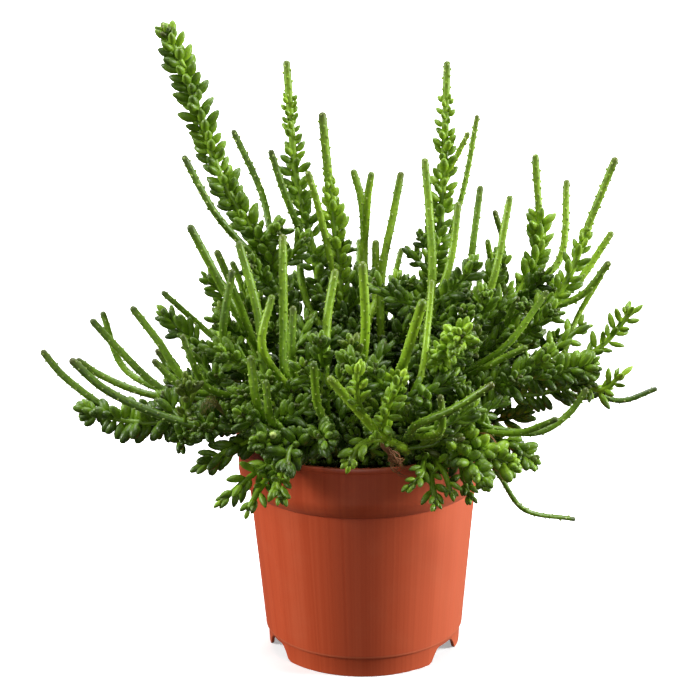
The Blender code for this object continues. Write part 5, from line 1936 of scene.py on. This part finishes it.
    def add_tufts(self, sprig: Sprig, name: str) -> None:
        """Add the dry roots of one shoot.

        Args:
            sprig: takes what is added.
            name: the shoot's name.
        """
        for tuft in TUFTS:
            if tuft.shoot != name:
                continue
            for _ in range(tuft.count):
                reach = self.between(0.6, 1.0)
                bends = [np.array([self.between(-1, 1) for _ in range(3)]) for _ in tuft.points]
                points = [np.array(p) + bend * tuft.spread * min(1.0, 0.4 * k)
                          for k, (p, bend) in enumerate(zip(tuft.points, bends))]
                route = smooth_route(points, 1.2)
                route = route[:max(4, int(len(route) * reach))]
                route = np.array([self.clump.keep_off_pot(p, 0.3 - self.clump.stem_gap) for p in route])
                ends = np.linspace(0, 1, len(route))
                girth = tuft.girth * self.between(0.5, 1.2) * (1.0 - 0.6 * ends)
                tone = np.full(len(route), 0.3)
                sprig.add_line(route, girth, tone, np.full(len(route), tuft.age))

    def build(self) -> None:
        """Grow one piece for each shoot and report it."""
        tree = GrowthTree()
        material = self.finish.build()
        total = 0
        for node, shoot in enumerate(self.shoots):
            sprig = Sprig()
            grains = 0
            for number, strand in enumerate(self.strands):
                if strand.node == node:
                    self.add_stem(sprig, number)
                    grains += self.add_grains(sprig, number)
                    self.add_areoles(sprig, number)
            self.add_tufts(sprig, shoot.name)
            if shoot.name == CUT_END.shoot:
                CUT_END.add_to(sprig)
            values = {"Seed": node, "Finish": material}
            if node >= len(SHOOTS):
                values |= FAR_GRAINS
            piece = tree.grow(shoot.name + "_grown", sprig.mesh(shoot.name + "_points"), values)
            if shoot.points:
                dress(piece, shoot.name)
            else:
                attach(piece, "root")
            faces = sum(len(p.vertices) - 2 for p in piece.data.polygons)
            total += faces
            log.info("%s: %d grains, %d triangles", piece.name, grains, faces)
        log.info("plant: %d triangles", total)


@dataclass
class Lathe:
    """Turns a profile round the Z axis into a closed mesh."""
    sides: int
    start_angle: float = 0.0

    def turn(self, name: str, profile: list[tuple[float, float]],
             lift: Callable[[int, float, float, float], float] | None = None) -> Mesh:
        """Return the turned mesh.

        Args:
            name: the mesh's name.
            profile: radius and height of each ring; the first and last lie on the axis.
            lift: gives a corner's height from its ring, its angle in degrees, radius and height.

        Returns:
            A closed mesh with its faces outwards.
        """
        build = bmesh.new()
        first = build.verts.new((0, 0, profile[0][1] * MM))
        last = build.verts.new((0, 0, profile[-1][1] * MM))
        rings = []
        for place, (radius, z) in enumerate(profile[1:-1]):
            ring = []
            for k in range(self.sides):
                a = math.radians(self.start_angle) + 2 * math.pi * k / self.sides
                height = z if lift is None else lift(place, k * 360.0 / self.sides, radius, z)
                corner = (radius * math.cos(a) * MM, radius * math.sin(a) * MM, height * MM)
                ring.append(build.verts.new(corner))
            rings.append(ring)
        for k in range(self.sides):
            after = (k + 1) % self.sides
            build.faces.new((first, rings[0][after], rings[0][k]))
            build.faces.new((last, rings[-1][k], rings[-1][after]))
            for low, high in zip(rings, rings[1:]):
                build.faces.new((low[k], low[after], high[after], high[k]))
        bmesh.ops.recalc_face_normals(build, faces=build.faces[:])
        return close_mesh(build, name)


@dataclass
class Pot:
    """The moulded nursery pot: collar with a thin lip, tapering body, and foot ring with three feet."""
    finish: PotFinish
    rim_radius: float = 60.5
    rim_height: float = 107.0
    collar_radius: float = 60.0
    collar_bottom: float = 82.0
    body_top_radius: float = 54.9
    body_bottom_radius: float = 48.5
    foot_radius: float = 47.0
    foot_height: float = 9.4
    wall: float = 1.5
    floor_top: float = 10.9
    sides: int = 168
    feet: int = 3
    foot_half_angle: float = 46.5
    notch_half_angle: float = 6.0
    notch_height: float = 7.0
    front_foot_angle: float = -94.0
    drain_holes: int = 4
    drain_radius: float = 4.0
    drain_circle: float = 33.0
    drill_sides: int = 32
    drill_depth: float = 9.0
    sharp_angle: float = 32.0

    def profile(self) -> list[tuple[float, float]]:
        """Return the outline, from the middle of the underside round the wall to the floor."""
        foot, base, top = self.foot_radius, self.foot_height, self.rim_height
        crease, bottom = self.body_top_radius, self.collar_bottom
        collar, rim = self.collar_radius, self.rim_radius
        inside_floor = self.body_bottom_radius - self.wall + 0.2
        inside, lip = collar - self.wall, rim - self.wall
        return [
            # The underside and the foot ring
            (0, base), (foot - self.wall, base), (foot - self.wall, 0.4), (foot - self.wall + 0.4, 0),
            (foot - 0.4, 0), (foot, 0.4), (foot + 0.45, base - 0.5), (foot + 0.6, base - 0.15),
            # The ledge and the tapering body
            (self.body_bottom_radius - 0.3, base + 0.15), (self.body_bottom_radius, base + 0.6),
            (self.body_bottom_radius + 0.1, base + 2.0), (crease - 0.1, bottom - 1.6),
            # The rounded collar
            (crease, bottom - 0.5), (crease + 0.6, bottom - 0.2), (crease + 1.5, bottom + 0.7),
            (crease + 2.4, bottom + 1.8), (crease + 3.3, bottom + 3.2), (crease + 3.9, bottom + 4.5),
            (crease + 4.4, bottom + 5.6), (crease + 4.7, bottom + 6.8), (crease + 4.95, bottom + 8.2),
            # The lip
            (collar - 0.1, top - 3.4), (collar, top - 2.8), (rim - 0.15, top - 2.5), (rim, top - 2.2),
            (rim, top - 0.5), (rim - 0.15, top - 0.15), (rim - 0.5, top), (lip, top),
            (lip - 0.4, top - 0.2), (lip - 0.5, top - 0.8),
            # The inside, down to the floor
            (inside - 1.2, bottom + 8.0), (inside - 1.8, bottom + 5.6),
            (crease - self.wall + 1.4, bottom + 2.4), (crease - self.wall, bottom + 0.6),
            (inside_floor + 0.3, self.floor_top + 1.2), (inside_floor - 0.7, self.floor_top),
            (0, self.floor_top),
        ]

    def lift_foot(self, place: int, angle: float, radius: float, z: float) -> float:
        """Return the height of a corner, raised where the foot ring is notched.

        Args:
            place: the number of the ring; not used.
            angle: the corner's angle, in degrees.
            radius: its radius; not used.
            z: its height in the outline.

        Returns:
            The height.
        """
        if z > 0.5:
            return z
        period = 360.0 / self.feet
        from_foot = abs((angle + period / 2) % period - period / 2)
        slope = period / 2 - self.foot_half_angle - self.notch_half_angle
        share = min(1.0, max(0.0, (from_foot - self.foot_half_angle) / slope))
        return z + self.notch_height * math.sin(share * math.pi / 2)

    def drill(self, pot: Object) -> None:
        """Cut the drain holes through the floor.

        Args:
            pot: the pot, which is changed.
        """
        build = bmesh.new()
        for k in range(self.drain_holes):
            a = 2 * math.pi * (k + 0.5) / self.drain_holes
            across, onwards = self.drain_circle * math.cos(a), self.drain_circle * math.sin(a)
            spot = Matrix.Translation(Vector((across, onwards, self.foot_height)) * MM)
            radius = self.drain_radius * MM
            bmesh.ops.create_cone(build, cap_ends=True, segments=self.drill_sides, radius1=radius,
                                  radius2=radius, depth=self.drill_depth * MM, matrix=spot)
        cutter = add_object("drain_cutter", close_mesh(build, "drain_cutter"))
        cut = pot.modifiers.new("Drain", "BOOLEAN")
        cut.operation = "DIFFERENCE"
        cut.object = cutter
        freeze(pot)
        bpy.data.objects.remove(cutter)

    def build(self) -> Object:
        """Return the pot as one piece."""
        mesh = Lathe(self.sides, self.front_foot_angle).turn("pot", self.profile(), self.lift_foot)
        pot = add_object("pot_moulded", mesh, self.finish.build())
        self.drill(pot)
        pot.data.shade_smooth()
        pot.data.set_sharp_from_angle(angle=math.radians(self.sharp_angle))
        return dress(pot, "pot")


class CrumbTree(GeometryTree):
    """Geometry nodes that strew crumbs over the faces marked as the soil's top."""

    def __init__(self) -> None:
        """Make the group and link the whole tree."""
        super().__init__("crumbs", (
            ("Density", "NodeSocketFloat", 90000.0), ("Smallest", "NodeSocketFloat", 0.0006),
            ("Largest", "NodeSocketFloat", 0.0021), ("Seed", "NodeSocketInt", 3),
            ("Finish", "NodeSocketMaterial", None)))
        self.close([self.crumbs(), self.source["Geometry"]], False)

    def random(self, kind: str, low: object, high: object, seed: object) -> Socket:
        """Return a random number or vector between two values.

        Args:
            kind: the kind of value.
            low: its least value.
            high: its greatest value.
            seed: the seed.

        Returns:
            The value.
        """
        first = {"FLOAT_VECTOR": 0, "FLOAT": 2}[kind]
        node = self.add("FunctionNodeRandomValue", {first: low, first + 1: high, "Seed": seed},
                        data_type=kind)
        return node.outputs[first // 2]

    def crumbs(self) -> Socket:
        """Return jagged crumbs of many sizes, each with a shade of its own."""
        spread = self.add("GeometryNodeDistributePointsOnFaces", {
            "Mesh": self.source["Geometry"], "Selection": self.named("top", "BOOLEAN"),
            "Density": self.source["Density"], "Seed": self.source["Seed"]})
        ball = self.add("GeometryNodeMeshIcoSphere", {"Radius": 1.0, "Subdivisions": 1})
        jag = self.random("FLOAT_VECTOR", (-0.3, -0.3, -0.3), (0.3, 0.3, 0.3), 5)
        crumb = self.add("GeometryNodeSetPosition", {"Geometry": ball.outputs[0], "Offset": jag})
        turn = self.random("FLOAT_VECTOR", (0, 0, 0), (6.28, 6.28, 6.28), 8)
        spin = self.add("FunctionNodeEulerToRotation", {0: turn})
        size = self.random("FLOAT", self.source["Smallest"], self.source["Largest"], self.source["Seed"])
        copies = self.add("GeometryNodeInstanceOnPoints", {
            "Points": spread.outputs[0], "Instance": crumb.outputs[0], "Rotation": spin.outputs[0],
            "Scale": size})
        return self.add("GeometryNodeStoreNamedAttribute", {
            "Geometry": copies.outputs[0], "Name": "crumb", "Value": self.random("FLOAT", 0.0, 1.0, 21)},
            data_type="FLOAT", domain="INSTANCE").outputs[0]


@dataclass
class Soil:
    """The soil that fills the pot, lumpy on top and strewn with crumbs."""
    finish: SoilFinish
    pot: Pot
    top: float = 98.0
    lump: float = 1.3
    gap: float = 0.4
    sides: int = 72
    rings: int = 14

    def profile(self) -> list[tuple[float, float]]:
        """Return the outline, from the middle of the bottom round the side to the top."""
        pot = self.pot
        floor = pot.floor_top + self.gap
        edge = pot.collar_radius - pot.wall - 1.5 - self.gap
        crease = pot.body_top_radius - pot.wall - self.gap
        side = [(0, floor), (pot.body_bottom_radius - pot.wall - 1.0, floor),
                (crease, pot.collar_bottom + 0.4), (edge - 0.3, pot.collar_bottom + 6.8), (edge, self.top)]
        surface = [(edge * (1 - k / self.rings), self.top) for k in range(1, self.rings)]
        return side + surface + [(0, self.top)]

    def lift(self, place: int, angle: float, radius: float, z: float) -> float:
        """Return the height of a corner, with lumps of two sizes on the top.

        Args:
            place: the number of the ring; not used.
            angle: the corner's angle, in degrees.
            radius: its radius.
            z: its height in the outline.

        Returns:
            The height.
        """
        if z < self.top - 0.1:
            return z
        a = math.radians(angle)
        x, y = radius * math.cos(a), radius * math.sin(a)
        wide = noise.noise((x * 0.07, y * 0.07, 0.3))
        close = noise.noise((x * 0.3, y * 0.3, 4.1))
        return z + self.lump * (wide + 0.5 * close)

    def build(self) -> Object:
        """Return the soil with its crumbs as one piece."""
        mesh = Lathe(self.sides).turn("soil", self.profile(), self.lift)
        mesh.shade_smooth()
        top = mesh.attributes.new("top", "BOOLEAN", "FACE")
        lowest = (self.top - 3) * MM
        top.data.foreach_set("value", [p.normal.z > 0.5 and p.center.z > lowest for p in mesh.polygons])
        soil = CrumbTree().run(add_object("soil_crumbly", mesh), {"Finish": self.finish.build()})
        return dress(soil, "soil")


@dataclass(frozen=True)
class Lamp:
    """A square soft lamp that faces a spot near the plant."""
    name: str
    place: Point
    size: float
    power: float
    aim: Point = (0, 0, 0.14)
    spread: float = 180.0  # in degrees

    def build(self) -> None:
        """Add the lamp."""
        light = bpy.data.lights.new(self.name, "AREA")
        light.energy = self.power
        light.size = self.size
        light.spread = math.radians(self.spread)
        item = bpy.data.objects.new(self.name, light)
        item.location = self.place
        item.rotation_euler = (Vector(self.aim) - Vector(self.place)).to_track_quat("-Z", "Y").to_euler()
        bpy.context.scene.collection.objects.link(item)


LAMPS = (
    Lamp("soft_left", (-1.35, -0.15, 0.60), 0.5, 25),
    Lamp("soft_right", (1.35, -0.15, 0.60), 0.5, 31),
    Lamp("low_right", (1.25, 0.25, 0.02), 0.5, 8, (0, 0, 0.05)),
    Lamp("soft_top", (0.0, -0.15, 1.6), 0.6, 25),
    Lamp("soft_back", (0.3, 1.3, 1.0), 0.6, 8),
    Lamp("soft_front", (-0.2, -1.9, 0.25), 0.5, 6.5, (0, 0, 0.05)),
    Lamp("wall_light", (0.0, 1.6, 2.6), 1.6, 90, (0, 2.3, 0.0), 110),
)


@dataclass
class Studio:
    """The camera, the pale sweep that the pot stands on, and soft light from both sides."""
    distance: float = 0.693
    height: float = 0.3185
    pitch: float = 0.242
    yaw: float = -0.009
    roll: float = -0.013
    focal_pixels: float = 1500.0
    picture_pixels: float = 696.0
    sensor: float = 36.0
    sweep_start: float = 1.6
    sweep_radius: float = 1.2
    sweep_height: float = 1.2
    sweep_reach: float = 9.0
    sweep_parts: int = 12
    sky: float = 0.05

    def camera(self) -> None:
        """Add the camera at the photograph's place."""
        level_share = math.cos(self.pitch)
        forward = Vector((math.sin(self.yaw) * level_share, math.cos(self.yaw) * level_share,
                          -math.sin(self.pitch)))
        level = Vector((math.cos(self.yaw), -math.sin(self.yaw), 0))
        above = level.cross(forward)
        right = level * math.cos(self.roll) + above * math.sin(self.roll)
        up = above * math.cos(self.roll) - level * math.sin(self.roll)
        view = bpy.data.cameras.new("camera")
        view.sensor_width = self.sensor
        view.lens = self.focal_pixels * self.sensor / self.picture_pixels
        item = bpy.data.objects.new("camera", view)
        placed = Matrix((right, up, -forward)).transposed().to_4x4()
        placed.translation = Vector((0, -self.distance, self.height))
        item.matrix_world = placed
        bpy.context.scene.collection.objects.link(item)
        bpy.context.scene.camera = item

    def sweep(self, finish: FloorFinish) -> None:
        """Add the floor, which curves up into a wall behind.

        Args:
            finish: its finish.
        """
        line = [(-self.sweep_reach, 0.0), (self.sweep_start, 0.0)]
        for k in range(1, self.sweep_parts + 1):
            a = math.radians(90.0 * k / self.sweep_parts)
            line.append((self.sweep_start + self.sweep_radius * math.sin(a),
                         self.sweep_radius * (1 - math.cos(a))))
        line.append((self.sweep_start + self.sweep_radius, self.sweep_height))
        build = bmesh.new()
        ends = []
        for x in (-self.sweep_reach, self.sweep_reach):
            ends.append([build.verts.new((x, y, z)) for y, z in line])
        for k in range(len(line) - 1):
            build.faces.new((ends[0][k], ends[1][k], ends[1][k + 1], ends[0][k + 1]))
        mesh = close_mesh(build, "floor")
        mesh.shade_smooth()
        floor = add_object("floor", mesh, finish.build())
        floor.visible_diffuse = False
        floor.visible_glossy = False
        floor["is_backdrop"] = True

    def build(self) -> None:
        """Set up the camera, floor and lights."""
        self.camera()
        self.sweep(FloorFinish())
        for lamp in LAMPS:
            lamp.build()
        world = bpy.data.worlds.new("studio")
        world.use_nodes = True
        sky = world.node_tree.nodes["Background"]
        sky.inputs["Color"].default_value = (1.0, 1.0, 1.0, 1.0)
        sky.inputs["Strength"].default_value = self.sky
        bpy.context.scene.world = world
        bpy.context.scene.view_settings.view_transform = "Standard"


def main() -> None:
    """Build every sub-assembly in order and report each piece."""
    logging.basicConfig(level=logging.INFO, format="%(name)s: %(message)s")
    Studio().build()
    pot = Pot(PotFinish())
    for piece in (pot.build(), Soil(SoilFinish(), pot).build()):
        log.info("%s: %d faces", piece.name, len(piece.data.polygons))
    Plant(Clump(SHOOTS + back_shoots()), PlantFinish()).build()
    boxes = {"cad": CAD_BOX, "visual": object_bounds()}
    sizes = {name: [list(corner) for corner in box] for name, box in boxes.items()}


if __name__ == "__main__":
    main()
